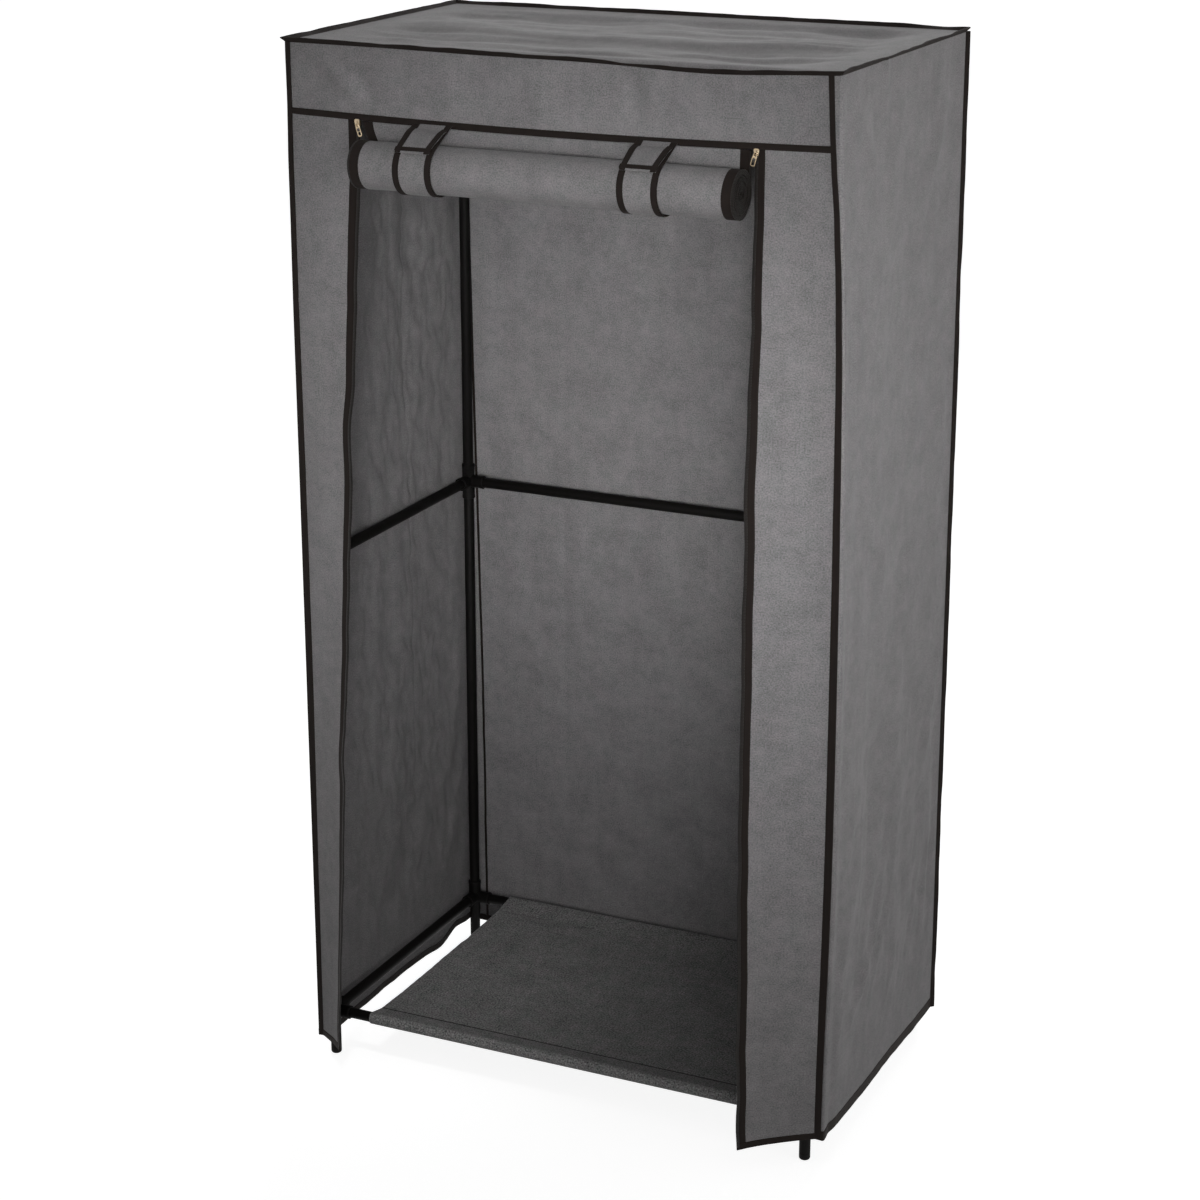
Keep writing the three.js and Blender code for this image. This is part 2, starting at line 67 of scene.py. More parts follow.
# Materials
finishes = {
    "coverCloth": {"colour": (0.158, 0.152, 0.154), "mottle": 0.34, "mottleSize": 0.05, "blotch": 0.15,
                   "streak": 0.08, "grain": 0.85, "grainSize": 0.002, "hue": 0.08, "roughness": 0.9, "sheen": 0.06},
    "shelfCloth": {"colour": (0.165, 0.163, 0.161), "mottle": 0.44, "mottleSize": 0.05, "blotch": 0.34,
                   "streak": 0.2, "grain": 2.2, "grainSize": 0.0026, "hue": 0.16, "roughness": 0.9, "sheen": 0.04},
    "bindingTape": {"colour": (0.008, 0.0052, 0.0041), "ribSize": 0.0011, "ribShade": 0.08, "ribHeight": 0.25,
                    "stitchEvery": 0.0032, "stitchShare": 0.72, "stitchFrom": 0.0012, "stitchTo": 0.0018,
                    "stitchShade": 0.9, "wear": 0.7, "wearSize": 0.02, "roughness": 0.85, "specular": 0.18},
    # the dark thread's own colour, which the dark strips along the shelf's seams also use as painted shadow
    "seamThread": {"colour": (0.011, 0.01, 0.0095), "roughness": 0.8},
    "paintedTube": {"colour": (0.004, 0.0036, 0.0033), "roughness": 0.58, "specular": 0.08},
    "mouldedPlastic": {"colour": (0.0046, 0.0042, 0.0039), "roughness": 0.62, "specular": 0.09},
    "zipChain": {"colour": (0.0085, 0.0068, 0.0056), "toothSize": 0.0021, "toothShade": 0.3, "roughness": 0.55,
                 "specular": 0.25},
    "zipMetal": {"colour": (0.46, 0.37, 0.25), "roughness": 0.26, "metallic": 1.0},
    "pullInlay": {"colour": (0.055, 0.047, 0.041), "roughness": 0.5, "specular": 0.3},
}
# what the hard ones share: a wide cloud in their colour and roughness, and a fine bump
hard = Settings(cloudSize=0.03, cloudShade=0.3, cloudRough=0.25, fineSize=0.0012, fineHeight=0.0002)


def newMaterial(name, finish):
    material = bpy.data.materials.new(name)
    material.use_nodes = True
    shader = material.node_tree.nodes["Principled BSDF"]
    shader.inputs["Base Color"].default_value = (*finish["colour"], 1)
    for socket, key, usual in (("Roughness", "roughness", 1), ("Metallic", "metallic", 0),
                               ("Sheen Weight", "sheen", 0), ("Specular IOR Level", "specular", 0.5)):
        shader.inputs[socket].default_value = finish.get(key, usual)
    return material, material.node_tree, shader


def addNode(tree, kind, settings=None, **inputs):
    node = tree.nodes.new("ShaderNode" + kind)
    for key, value in (settings or {}).items():
        setattr(node, key, value)
    for key, value in inputs.items():
        socket = node.inputs[int(key[1:])] if key[0] == "i" and key[1:].isdigit() else node.inputs[key]
        if isinstance(value, bpy.types.NodeSocket):
            tree.links.new(value, socket)
        else:
            socket.default_value = value
    return node


def mathNode(tree, operation, a, b=0.0, c=0.0):
    return addNode(tree, "Math", {"operation": operation}, i0=a, i1=b, i2=c).outputs[0]


def times(tree, a, b):
    return mathNode(tree, "MULTIPLY", a, b)


def plus(tree, a, b):
    return mathNode(tree, "ADD", a, b)


def waveAlong(tree, place, length):
    return mathNode(tree, "SINE", times(tree, place, tau / length))


def bumpInto(tree, shader, height, distance, strength):
    bump = addNode(tree, "Bump", Strength=strength, Distance=distance, Height=height)
    tree.links.new(bump.outputs["Normal"], shader.inputs["Normal"])


def shaded(tree, shader, finish, factor, drift=None):
    # the finish's own colour, made lighter or darker by a factor round 1, with a drift from green to red
    tint = addNode(tree, "Mix", {"data_type": "RGBA", "blend_type": "MULTIPLY"})
    tint.inputs["Factor"].default_value = 1
    tint.inputs["A"].default_value = (*finish["colour"], 1)
    red = plus(tree, factor, drift) if drift else factor
    green = mathNode(tree, "SUBTRACT", factor, drift) if drift else factor
    grey = addNode(tree, "CombineColor", Red=red, Green=green, Blue=factor)
    tree.links.new(grey.outputs[0], tint.inputs["B"])
    tree.links.new(tint.outputs["Result"], shader.inputs["Base Color"])


def noiseOn(tree, place, size, detail=3.0, stretch=(1, 1, 1)):
    mapped = addNode(tree, "Mapping", Vector=place, Scale=stretch).outputs[0]
    made = addNode(tree, "TexNoise", Vector=mapped, Scale=1 / size, Detail=detail, Roughness=0.6)
    return mathNode(tree, "SUBTRACT", made.outputs["Fac"], 0.5)


def clothLook(tree, shader, finish):
    # spun-bonded cloth: cloudy mottle with smaller blotches, faint streaks along the roll and a fine grain
    place, size = addNode(tree, "TexCoord").outputs["UV"], finish["mottleSize"]
    mottle = times(tree, noiseOn(tree, place, size, 5), finish["mottle"] * 2)
    blotch = times(tree, noiseOn(tree, place, size / 4, 3), finish["blotch"] * 2)
    streak = times(tree, noiseOn(tree, place, size / 4, 4, (1, 0.12, 1)), finish["streak"] * 2)
    grain = noiseOn(tree, place, finish["grainSize"], 2)
    speckle = times(tree, grain, finish["grain"] * 2)
    total = plus(tree, plus(tree, mottle, blotch), plus(tree, streak, speckle))
    drift = times(tree, noiseOn(tree, place, size / 2, 3), finish["hue"])
    shaded(tree, shader, finish, plus(tree, total, 1.0), drift)
    bumpInto(tree, shader, grain, finish["grainSize"] / 3, 0.5)


def bindingLook(tree, shader, finish):
    # ribbed tape with one row of stitches beside its inner edge
    place = addNode(tree, "TexCoord").outputs["UV"]
    across, along = addNode(tree, "SeparateXYZ", Vector=place).outputs[:2]
    rib = waveAlong(tree, along, finish["ribSize"])
    wear = noiseOn(tree, place, finish["wearSize"], 4)
    inLine = times(tree, mathNode(tree, "GREATER_THAN", across, finish["stitchFrom"]),
                   mathNode(tree, "LESS_THAN", across, finish["stitchTo"]))
    dash = mathNode(tree, "FRACT", mathNode(tree, "DIVIDE", along, finish["stitchEvery"]))
    stitch = times(tree, inLine, mathNode(tree, "LESS_THAN", dash, finish["stitchShare"]))
    lighter = mathNode(tree, "MULTIPLY_ADD", stitch, finish["stitchShade"], 1.0)
    factor = plus(tree, lighter, times(tree, wear, finish["wear"]))
    shaded(tree, shader, finish, plus(tree, factor, times(tree, rib, finish["ribShade"])))
    bumpInto(tree, shader, plus(tree, times(tree, rib, finish["ribHeight"]), stitch), finish["ribSize"] / 4, 0.6)


def hardLook(tree, shader, finish):
    place = addNode(tree, "TexCoord").outputs["Object"]
    cloud = noiseOn(tree, place, hard.cloudSize, 4)
    rough = plus(tree, times(tree, cloud, hard.cloudRough), finish["roughness"])
    tree.links.new(rough, shader.inputs["Roughness"])
    shaded(tree, shader, finish, plus(tree, times(tree, cloud, hard.cloudShade), 1.0))
    bumpInto(tree, shader, noiseOn(tree, place, hard.fineSize, 2), hard.fineHeight, 0.25)


def chainLook(tree, shader, finish):
    place = addNode(tree, "TexCoord").outputs["UV"]
    along = addNode(tree, "SeparateXYZ", Vector=place).outputs[1]
    tooth = waveAlong(tree, along, finish["toothSize"])
    shaded(tree, shader, finish, plus(tree, times(tree, tooth, finish["toothShade"]), 1.0))
    bumpInto(tree, shader, tooth, finish["toothSize"] / 3, 0.8)


makers = {"coverCloth": clothLook, "shelfCloth": clothLook, "bindingTape": bindingLook, "zipChain": chainLook}
looks = {}
for name, finish in finishes.items():
    looks[name], tree, shader = newMaterial(name, finish)
    makers.get(name, hardLook)(tree, shader, finish)
print("materials made")


# Cloth pieces: a surface in metres over the flat cut, given thickness
def soften(value):
    value = min(max(value, 0.0), 1.0)
    return value * value * (3 - 2 * value)


def mix(a, b, share):
    return a + (b - a) * share


def ripple(a, b, seed, size, stretch=1.0, octaves=3):
    return noise.fractal(Vector((a / size, b / (size * stretch), seed)), 1.0, 2.0, octaves)


def hump(value, centre, spread):
    return exp(-(((value - centre) / spread) ** 2))


def humps(value, parts, total=0.0):
    # each part is a hump's place, spread and height
    for centre, spread, height in parts:
        total += height * hump(value, centre, spread)
    return total


def creased(lines, a, b):
    # soft ridges along short lines, each from one point to another with its half width and height
    total = 0
    for startA, startB, endA, endB, spread, height in lines:
        runA, runB = endA - startA, endB - startB
        length = hypot(runA, runB)
        share = ((a - startA) * runA + (b - startB) * runB) / length ** 2
        off = ((a - startA) * runB - (b - startB) * runA) / length
        total += height * hump(off, 0, spread) * soften(share * 4) * soften((1 - share) * 4)
    return total


def addObject(name, data):
    made = bpy.data.objects.new(name, data)
    scene.collection.objects.link(made)
    return made


def meshObject(name, bm, material):
    mesh = bpy.data.meshes.new(name)
    bm.to_mesh(mesh)
    bm.free()
    mesh.materials.append(material)
    return addObject(name, mesh)


def makePiece(name, bm, look, body, replaced=()):
    piece = meshObject(name, bm, looks[look])
    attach(piece, body)
    if replaced:
        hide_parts(*replaced)
    return piece


def addCube(bm, size, centre):
    made = ops.create_cube(bm, size=1)["verts"]
    ops.scale(bm, vec=size, verts=made)
    ops.translate(bm, vec=centre, verts=made)
    return made


def addedSince(bm, before):
    return [vert for vert in bm.verts if vert not in before]


def around(verts, kind):
    # the faces or edges that meet at the verts
    return list({part for vert in verts for part in getattr(vert, kind)})


def bevelEdges(bm, edges, offset, clamp=False):
    ops.bevel(bm, geom=edges, offset=offset, offset_type="OFFSET", segments=2, profile=0.5, affect="EDGES",
                    material=-1, clamp_overlap=clamp)


def smoothShade(bm, sharp=40):
    # smooth but for the edges where faces meet at more than the sharp angle, in degrees
    for face in bm.faces:
        face.smooth = True
    for edge in bm.edges:
        edge.smooth = edge.calc_face_angle(0) < radians(sharp)


def roundEdges(piece, width):
    edge = piece.modifiers.new("roundedEdge", "BEVEL")
    edge.width = width
    edge.segments = 2
    edge.profile = 0.5
    edge.limit_method = "ANGLE"


# Each kind of cloth piece: its thickness, the rounding of its edges, its grid's pitch, its material and its slot
kinds = {
    "cloth": (0.0009, 0, 0.01, "coverCloth", "cover_fabric"),
    "shelf": (0.0012, 0, 0.01, "shelfCloth", "shelf_fabric"),
    "tape": (0.0024, 0.0007, 0.008, "bindingTape", "binding"),
    "thinTape": (0.0014, 0, 0.008, "bindingTape", "binding"),
    "strapTape": (0.0021, 0.0006, 0.004, "bindingTape", "binding"),
    # dark strips along the shelf's seams, which are painted shadow of the fold, not cloth
    "seamLine": (0.0004, 0, 0.01, "seamThread", "shelf_fabric"),
    "chain": (0.0028, 0.0008, 0.008, "zipChain", "binding"),
    "doorChain": (0.0019, 0.0005, 0.008, "zipChain", "binding"),
}


def clothPatch(name, kind, surface, spanA, spanB, body="wardrobe", replaced=(), pitch=None, alongB=True):
    thick, rounding, grid, look, slot = kinds[kind]
    pitches = pitch or (grid, grid)
    steps = [max(2, ceil((span[1] - span[0]) / step)) for span, step in zip((spanA, spanB), pitches)]
    bm = bmesh.new()
    uvs = bm.loops.layers.uv.new("cloth")
    ops.create_grid(bm, x_segments=steps[0], y_segments=steps[1], size=0.5)
    flat = {}
    for vert in bm.verts:
        flat[vert] = (mix(*spanA, vert.co.x + 0.5), mix(*spanB, vert.co.y + 0.5))
    for vert, (a, b) in flat.items():
        vert.co = surface(a, b)
    for face in bm.faces:
        face.smooth = True
        for loop in face.loops:
            a, b = flat[loop.vert]
            loop[uvs].uv = (a - spanA[0], b) if alongB else (b - spanB[0], a)
    for edge in bm.edges:
        if edge.is_boundary:
            edge.smooth = False
    piece = makePiece(name, bm, look, body, replaced)
    wall = piece.modifiers.new("thickness", "SOLIDIFY")
    wall.thickness = thick
    wall.offset = 0
    if rounding:
        roundEdges(piece, rounding)
    return piece


def flatSize(spanA, spanB):
    return (spanA[1] - spanA[0], spanB[1] - spanB[0])


# Cover panels. Each surface takes metres from the panel's first edge and metres down or back
panels = Settings(set=0.0008, topSag=0.005, topWrinkle=0.006, seamSag=0.0062, rimDrop=0.0095,
                  rimHumps=((0.8, 0.17, 1), (0.42, 0.2, 0.25)), bandFold=0.0042, bandDepth=0.45,
                  bandHumps=((0.1, 0.13, 0.85), (0.49, 0.12, 0.6)),
                  pulled=((0.035, 0.014, 1.1), (0.066, 0.018, -0.8)), pulledLean=1.1, sideFold=0.0058,
                  crumple={1: 0.0014, -1: 0.0036}, backCrumple=0.001, backFold=0.0042, hemWave=0.0008, hemDrop=0.013,
                  hemRight=(0.012, -0.008), hemFlare={1: 0.006, -1: 0.0}, hemFrom=0.93, hemReach=0.07, rimReach=0.022,
                  sideCalm=(0.038, 0.06), endCalm=(0.03, 0.05))
corner = Settings(bow={1: 0.0225, -1: 0.0}, bowAt=0.62, turnBack=0.26, wrap={1: 0.0055, -1: 0.0014},
                  wrapHumps=((0.04, 0.07, 0.9), (0.26, 0.1, -0.3)), round=0.006, reach=0.009, ridge=0.001,
                  lowRidge=0.0046, lowFrom=0.78, dip=0.0022, dipAt=0.024, dipSpread=0.012, fade=0.24, pitch=0.003)


def inMetres(lines):
    return [[value / 1000 for value in line] for line in lines]


# Creases, each from one point of the panel to another with its half width and height, in millimetres
bandCreases = inMetres([(250, 4, 262, 88, 12, 3), (305, 0, 300, 75, 8, -2.2), (380, 10, 385, 85, 10, 1.8),
                        (470, 0, 478, 80, 9, 2.2), (528, 0, 525, 80, 10, -3.6), (552, 0, 550, 85, 9, 2.4),
                        (585, 4, 583, 90, 7, -2), (205, 0, 190, 60, 12, -2)])
sideCreases = {
    1: inMetres([(30, 15, 140, 160, 16, 5.2), (440, 60, 360, 190, 16, 4.8), (400, 300, 475, 640, 22, 5.2),
                 (490, 880, 380, 1130, 16, 5.2), (462, 1140, 428, 1390, 14, 5.2), (215, 1235, 115, 1350, 13, 4.2),
                 (262, 1215, 165, 1320, 12, -3.8), (165, 1280, 80, 1375, 12, 3.8), (38, 200, 37, 500, 6, -1.2),
                 (160, -20, 176, 70, 12, 4.4), (120, 450, 200, 760, 40, 6), (300, 200, 330, 560, 35, -5),
                 (250, 800, 300, 1150, 35, 6)]),
    -1: inMetres([(290, 505, 500, 468, 7, 3.4), (380, 960, 490, 925, 7, 2.8), (320, 20, 320, 1480, 4, 0.9),
                  (250, 760, 430, 700, 10, -2.6), (230, 1250, 400, 1180, 10, 3), (340, 1370, 480, 1330, 8, -2.4),
                  (200, 300, 330, 210, 12, 3)])}
backCreases = inMetres([(182, 40, 182, 1480, 5, 0.9), (180, 1100, 560, 1112, 7, -2), (560, 330, 720, 350, 10, -1.4),
                        (80, 1380, 330, 1365, 10, 1.6)])
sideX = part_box("cover_right_panel")[1].x - panels.set
frontY = frontOuter + panels.set
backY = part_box("cover_back_panel")[1].y - panels.set
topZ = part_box("cover_top_panel")[1].z - panels.set
coverWide = sideX * 2
coverDeep = backY - frontY
coverTall = topZ - hemZ
bandSpan = (0, topZ - (flapTop + bandBottom) / 2)


def rimDrop(a):
    # how far the front rim hangs below its corners
    share = a / coverWide
    return panels.rimDrop * humps(share, panels.rimHumps) * sin(pi * share) ** 0.5


def topSurface(a, b):
    x, y = a - sideX, frontY + b
    bay = (y - frontPostY) / (railY - frontPostY) if y < railY else (y - railY) / (backPostY - railY)
    fromSide, fromEnd = min(a, coverWide - a), min(b, coverDeep - b)
    sag = sin(pi * min(max(bay, 0), 1)) * sin(pi * a / coverWide) ** 0.5
    (sideFrom, sideReach), (endFrom, endReach) = panels.sideCalm, panels.endCalm
    edge = soften((fromSide - sideFrom) / sideReach) * soften((fromEnd - endFrom) / endReach)
    wrinkle = ripple(b - a * 0.06, a, 1.7, 0.075, 6.0) + 0.6 * ripple(a + b * 0.8, b - a * 0.25, 2.9, 0.16, 2.2)
    drop = rimDrop(a) * (1 - soften(b / panels.rimReach))
    lift = panels.topWrinkle * (wrinkle * edge - 0.3 * edge)
    return Vector((x, y, topZ - drop - panels.topSag * sag * edge + lift))


def bandOut(a, b):
    # soft folds that are deeper on the left, with two pulled ones at the left corner, and shallow at the seam
    depth = humps(a / coverWide, panels.bandHumps, panels.bandDepth)
    fold = ripple(a, b * 0.6, 5.2, 0.052, 5.0) * 0.8 + ripple(a, b, 8.1, 0.16, 2.0)
    tension = humps(a - b * panels.pulledLean, panels.pulled)
    free = soften(b / 0.035) * soften((coverWide - a) / 0.03) * soften(a / 0.015)
    atSeam = 1 - 0.9 * soften((b - bandSpan[1] + 0.045) / 0.035)
    return (panels.bandFold * (fold * depth + tension) * 0.75 + creased(bandCreases, a, b)) * free * atSeam


def seamSag(a):
    # how far the seam under the band hangs below its ends
    return panels.seamSag * sin(pi * min(max(a / coverWide, 0), 1))


def bandSurface(a, b):
    share = b / bandSpan[1]
    return Vector((a - sideX, frontY - bandOut(a, b), topZ - b - rimDrop(a) * (1 - share) - seamSag(a) * share))


def belowSeam(place, drop, reach):
    # what hangs from the seam stands out and down with the band's edge, less and less as it goes down
    a, late = min(max(place.x + sideX, 0), coverWide), 1 - soften(drop / reach)
    return place - Vector((0, bandOut(a, bandSpan[1]), seamSag(a))) * late


def hemLift(side, a):
    # the right hem is straight and a little lower at the back; the left one hangs lower, with a dip near its back
    if side > 0:
        return mix(*panels.hemRight, a / coverDeep) + 0.0004 * ripple(a, 1, 17, 0.06)
    wave = 0.006 * (hump(a, coverDeep - 0.058, 0.026) - hump(a, coverDeep - 0.115, 0.04))
    return (wave - panels.hemDrop) * soften(a / 0.06)


def hemShare(b):
    return soften((b - coverTall * panels.hemFrom) / (coverTall * panels.hemReach))


def cornerOut(side, b):
    # how far the front corner is pulled out past the rim's corner, most of it at mid height
    down = min(max(b / coverTall, 0), 1)
    bow = sin(pi / 2 * min(down / corner.bowAt, 1) ** 0.85)
    return corner.bow[side] * (bow - corner.turnBack * soften((down - 0.7) / 0.3))


def cornerWrap(side, b):
    # how far the side panel comes round the front corner before its binding
    return corner.wrap[side] * humps(b / coverTall, corner.wrapHumps, 1)


def sideSurface(side, a, b):
    down, low = soften(b / 0.05), soften((b / coverTall - corner.lowFrom) / 0.14)
    turn = pi / 2 * min(a / corner.reach, 1)
    depth = max(a - corner.reach, 0) + corner.round * (1 - cos(turn))
    ridge = (corner.ridge + corner.lowRidge * low) * sin(turn) * (1 - soften(depth / 0.022)) * down
    straight = soften((b / coverTall - 0.6) / 0.35)
    fade = mix(1 - soften(depth / corner.fade), 1 - depth / coverDeep, straight)
    out = cornerOut(side, b) * fade - cornerWrap(side, b) * (1 - sin(turn))
    fold = ripple(depth + b * 0.05, b, 3.3 + side, 0.1, 3.5, 2) + 0.6 * ripple(depth, b, 9.4 + side, 0.28, 1.6)
    fold += 0.5 * ripple(depth + b * 0.45, b, 15.4 + side, 0.05, 6.0) * soften((b - coverTall * 0.55) / 0.3)
    crumple = ripple(depth, b, 21 + side, 0.038) + ripple(depth + b * 0.5, b - depth * 0.5, 27 + side, 0.07, 0.5)
    free = soften((depth - 0.006) / 0.04) * soften((coverDeep - depth) / 0.04) * down
    hem = hemShare(b)
    out -= corner.dip * hump(depth, corner.dipAt, corner.dipSpread) * down
    out += panels.hemFlare[side] * b / coverTall * depth / coverDeep
    out -= panels.hemWave * sin(depth * 24 + side) * hem * soften(depth / 0.05)
    out += creased(sideCreases[side], depth, b) * soften((coverDeep - depth) / 0.02)
    calm = 1 - 0.8 * soften((b / coverTall - 0.88) / 0.1)
    out -= (panels.sideFold * fold + panels.crumple[side] * crumple) * free * calm
    return Vector((side * (sideX + out), frontY - ridge + depth, topZ - b + hemLift(side, depth) * hem))


def backSurface(a, b):
    fold = ripple(a, b, 12.5, 0.16, 3.0) + 0.4 * ripple(a, b, 14.9, 0.06, 4.0)
    free = soften(a / 0.05) * soften((coverWide - a) / 0.05) * soften(b / 0.08)
    lift = mix(hemLift(-1, coverDeep), hemLift(1, coverDeep), soften(a / coverWide)) * hemShare(b)
    across = 1 - 2 * a / coverWide
    flare = -panels.hemFlare[1] * b / coverTall * soften(-across)
    inward = panels.backFold * (fold + 0.3) + panels.backCrumple * ripple(a, b, 23, 0.04)
    return Vector((a - sideX - flare, backY - (inward - creased(backCreases, a, b)) * free, topZ - b + lift))


wide, tall = (0, coverWide), (0, coverTall)
deep = (0, coverDeep + corner.reach - corner.round)
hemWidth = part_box("cover_left_panel")[0].z - hemZ
topPanel = clothPatch("cover_top", "cloth", topSurface, wide, (0, coverDeep), replaced=["cover_top_panel"])
frontBand = clothPatch("cover_front_band_cloth", "cloth", bandSurface, wide, bandSpan, replaced=["cover_front_band"])
backPanel = clothPatch("cover_back", "cloth", backSurface, wide, tall, replaced=["cover_back_panel"],
                       pitch=(0.005, 0.009))
for name, side in sides:
    clothPatch(f"cover_{name}", "cloth", partial(sideSurface, side), deep, tall,
                                  replaced=[f"cover_{name}_panel"], pitch=(corner.pitch, 0.011))
print("cover panels made")

# Bindings: fins along the rim and the back corners, flat tapes on the front corners, seam and hem
bindings = Settings(fin=0.0085, finInside=0.0012, finWobble=0.45, calm=0.03, cornerTop=0.0075, cornerBottom=0.0115,
                    cornerInside=0.004, cornerLap=0.0016, seam=0.0088, seamSpan=(0.003, coverWide - 0.0075),
                    sideHem=0.016, proud=0.0012, lean=0.0006, twist=0.0016, sway={1: 0.0016, -1: 0.0006},
                    backSeam=0.0035, backSeamTop=0.0125, backSeamHem=0.031)


def finSurface(start, end, outwards, inside, drop=None):
    # the fins of the rims, which lie level, are longer outside, so that they meet at the corners
    length = (end - start).length
    run = (end - start) / length
    mitre = sqrt(0.5) if abs(run.z) < 0.5 else 0

    def surface(a, b):
        calm = soften(min(b, length - b) / bindings.calm)
        wobble = calm * bindings.finWobble * ripple(b, start.x + start.z, outwards.y + 4.1, 0.09, 1.0)
        turned = Matrix.Rotation(wobble, 3, run) @ outwards
        sunk = Vector((0, 0, drop(b))) if drop else Vector()
        return start + run * (b + mitre * (a - inside) * (2 * b / length - 1)) + turned * (a - inside) - sunk
    return surface, length


def cornerTapeWide(b):
    return mix(bindings.cornerTop, bindings.cornerBottom, soften(b / coverTall * 1.6))


def cornerTapeEdge(side, b):
    # where the binding's outer edge lies, on the front of the corner
    sway = bindings.sway[side] * ripple(b, side, 7.7, 0.11) * (1 - 0.75 * soften(b / coverTall * 3))
    return sideX + cornerOut(side, b) - cornerWrap(side, b) + bindings.cornerLap - sway


def cornerSurface(side, a, b):
    share = a / bindings.cornerBottom
    twist = bindings.twist * ripple(b, side, 11.2, 0.07) * (1 - soften(b / coverTall * 4)) * (share - 0.5)
    x = cornerTapeEdge(side, b) - cornerTapeWide(b) * (1 - share)
    z = topZ - b + hemLift(side, 0) * hemShare(b)
    return Vector((side * x, frontY - bindings.proud - bindings.lean * share - twist, z))


for place, starts, ends, outwards in (
        ("front", (-1, frontY), (1, frontY), (0, -1, 1)), ("back", (-1, backY), (1, backY), (0, 1, 1)),
        ("left", (-1, frontY), (-1, backY), (-1, 0, 1)), ("right", (1, frontY), (1, backY), (1, 0, 1))):
    start, end = (Vector((side * sideX, y, topZ)) for side, y in (starts, ends))
    atFront = place == "front"
    surface, length = finSurface(start, end, Vector(outwards).normalized(), bindings.finInside,
                                 rimDrop if atFront else None)
    clothPatch(f"rim_binding_{place}", "tape", surface, (0, bindings.fin), (0, length),
                                replaced=["edge_binding"] if atFront else [])

for name, side in sides:
    start = Vector((side * sideX, backY, topZ))
    end = Vector((start.x + side * panels.hemFlare[side], start.y, hemZ + hemLift(side, coverDeep)))
    surface, length = finSurface(start, end, Vector((side, 1, 0)).normalized(), bindings.cornerInside)
    across = (0, bindings.fin - bindings.finInside + bindings.cornerInside)
    clothPatch(f"corner_binding_back_{name}", "tape", surface, across, (0, length))
    across = (0, bindings.cornerBottom)
    clothPatch(f"corner_binding_front_{name}", "tape",
                                               partial(cornerSurface, side), across, (0, coverTall))


def seamSurface(a, b):
    place = bandSurface(b, bandSpan[1] + bindings.seam / 2 - a)
    return place + Vector((0, -bindings.proud, 0))


seamBinding = clothPatch("seam_binding_front", "tape", seamSurface, (0, bindings.seam), bindings.seamSpan)
hemSpan = (coverTall - hemWidth, coverTall)
for name, side in sides:
    sideHem = (coverTall - (bindings.sideHem if side > 0 else hemWidth), coverTall)
    clothPatch(f"hem_binding_{name}", "tape", partial(sideSurface, side), deep, sideHem,
                                 pitch=(corner.pitch, 0.008), alongB=False)
clothPatch("hem_binding_back", "tape", backSurface, wide, hemSpan, alongB=False)


def insideBack(side, a, b):
    # the back panel's side seam, which runs away from its post as it goes down
    reach = mix(bindings.backSeamTop, bindings.backSeamHem, soften(b / coverTall)) + a
    return backSurface(reach if side < 0 else coverWide - reach, b) - Vector((0, bindings.proud, 0))


backSeams = [clothPatch(f"back_seam_{name}", "thinTape", partial(insideBack, side), (0, bindings.backSeam),
                        (0.004, coverTall - 0.001)) for name, side in sides]
print("cover bindings made")

# Front flaps, which turn out about the corner as they go down
flapOf = {"right": Settings(side=1, swing=38.5, drawIn=0.0, rise=0.003, cornerRise=0.012, buckle=0.003, tape=0.0135),
          "left": Settings(side=-1, swing=42.5, drawIn=0.029, rise=0.008, cornerRise=0.0, buckle=0.008, tape=0.017)}
flaps = Settings(cornerTurn=0.8, straight=0.06, buckleAt=(0.31, 0.66), buckleSpread=0.03, drawInPower=0.7,
                 chain=0.0045, wrinkle=0.0024, edgeWave=0.0022, seamReach=0.1, cornerPull=1.5, above=0.004, lap=0.001,
                 hem=0.01)
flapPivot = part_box("cover_front_band")[1].x
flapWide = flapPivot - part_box("zip_tape_right")[0].x
flapDrop = flapTop - hemZ


def flapSurface(flap, a, b):
    down = max(b / flapDrop, 0)
    opened = max(down - flaps.straight, 0) / (1 - flaps.straight)
    swing = radians(flap.swing) * opened + 1e-6
    share = a / flapWide
    narrowed = flapWide - flap.drawIn * opened ** flaps.drawInPower
    startTurn = swing * flaps.cornerTurn
    turn = startTurn + swing * (1 - flaps.cornerTurn) * 2 * share
    radius = narrowed / (swing * (1 - flaps.cornerTurn) * 2)
    run = radius * (sin(turn) - sin(startTurn))
    forward = radius * (cos(startTurn) - cos(turn))
    buckle = flap.buckle * share ** 2 * sum(hump(down, at, flaps.buckleSpread) for at in flaps.buckleAt)
    wrinkle = flaps.wrinkle * ripple(a, b, 20 + flap.side, 0.07, 5.0) * soften(a / 0.03) * soften(b / 0.05)
    wave = flaps.edgeWave * share ** 3 * ripple(b, 3, 31 + flap.side, 0.1) * soften(b / 0.1)
    belowTop = b + topZ - flapTop
    z = flapTop - b + flap.rise * share * opened + flap.cornerRise * (1 - share) * hemShare(belowTop)
    taped = cornerTapeEdge(flap.side, belowTop) - cornerTapeWide(belowTop) / 2
    pulled = (taped - flapPivot) * max(1 - share, 0) ** flaps.cornerPull
    x = flap.side * (flapPivot - run + wave + pulled)
    return belowSeam(Vector((x, frontY - forward - buckle - wrinkle, z)), b, flaps.seamReach)


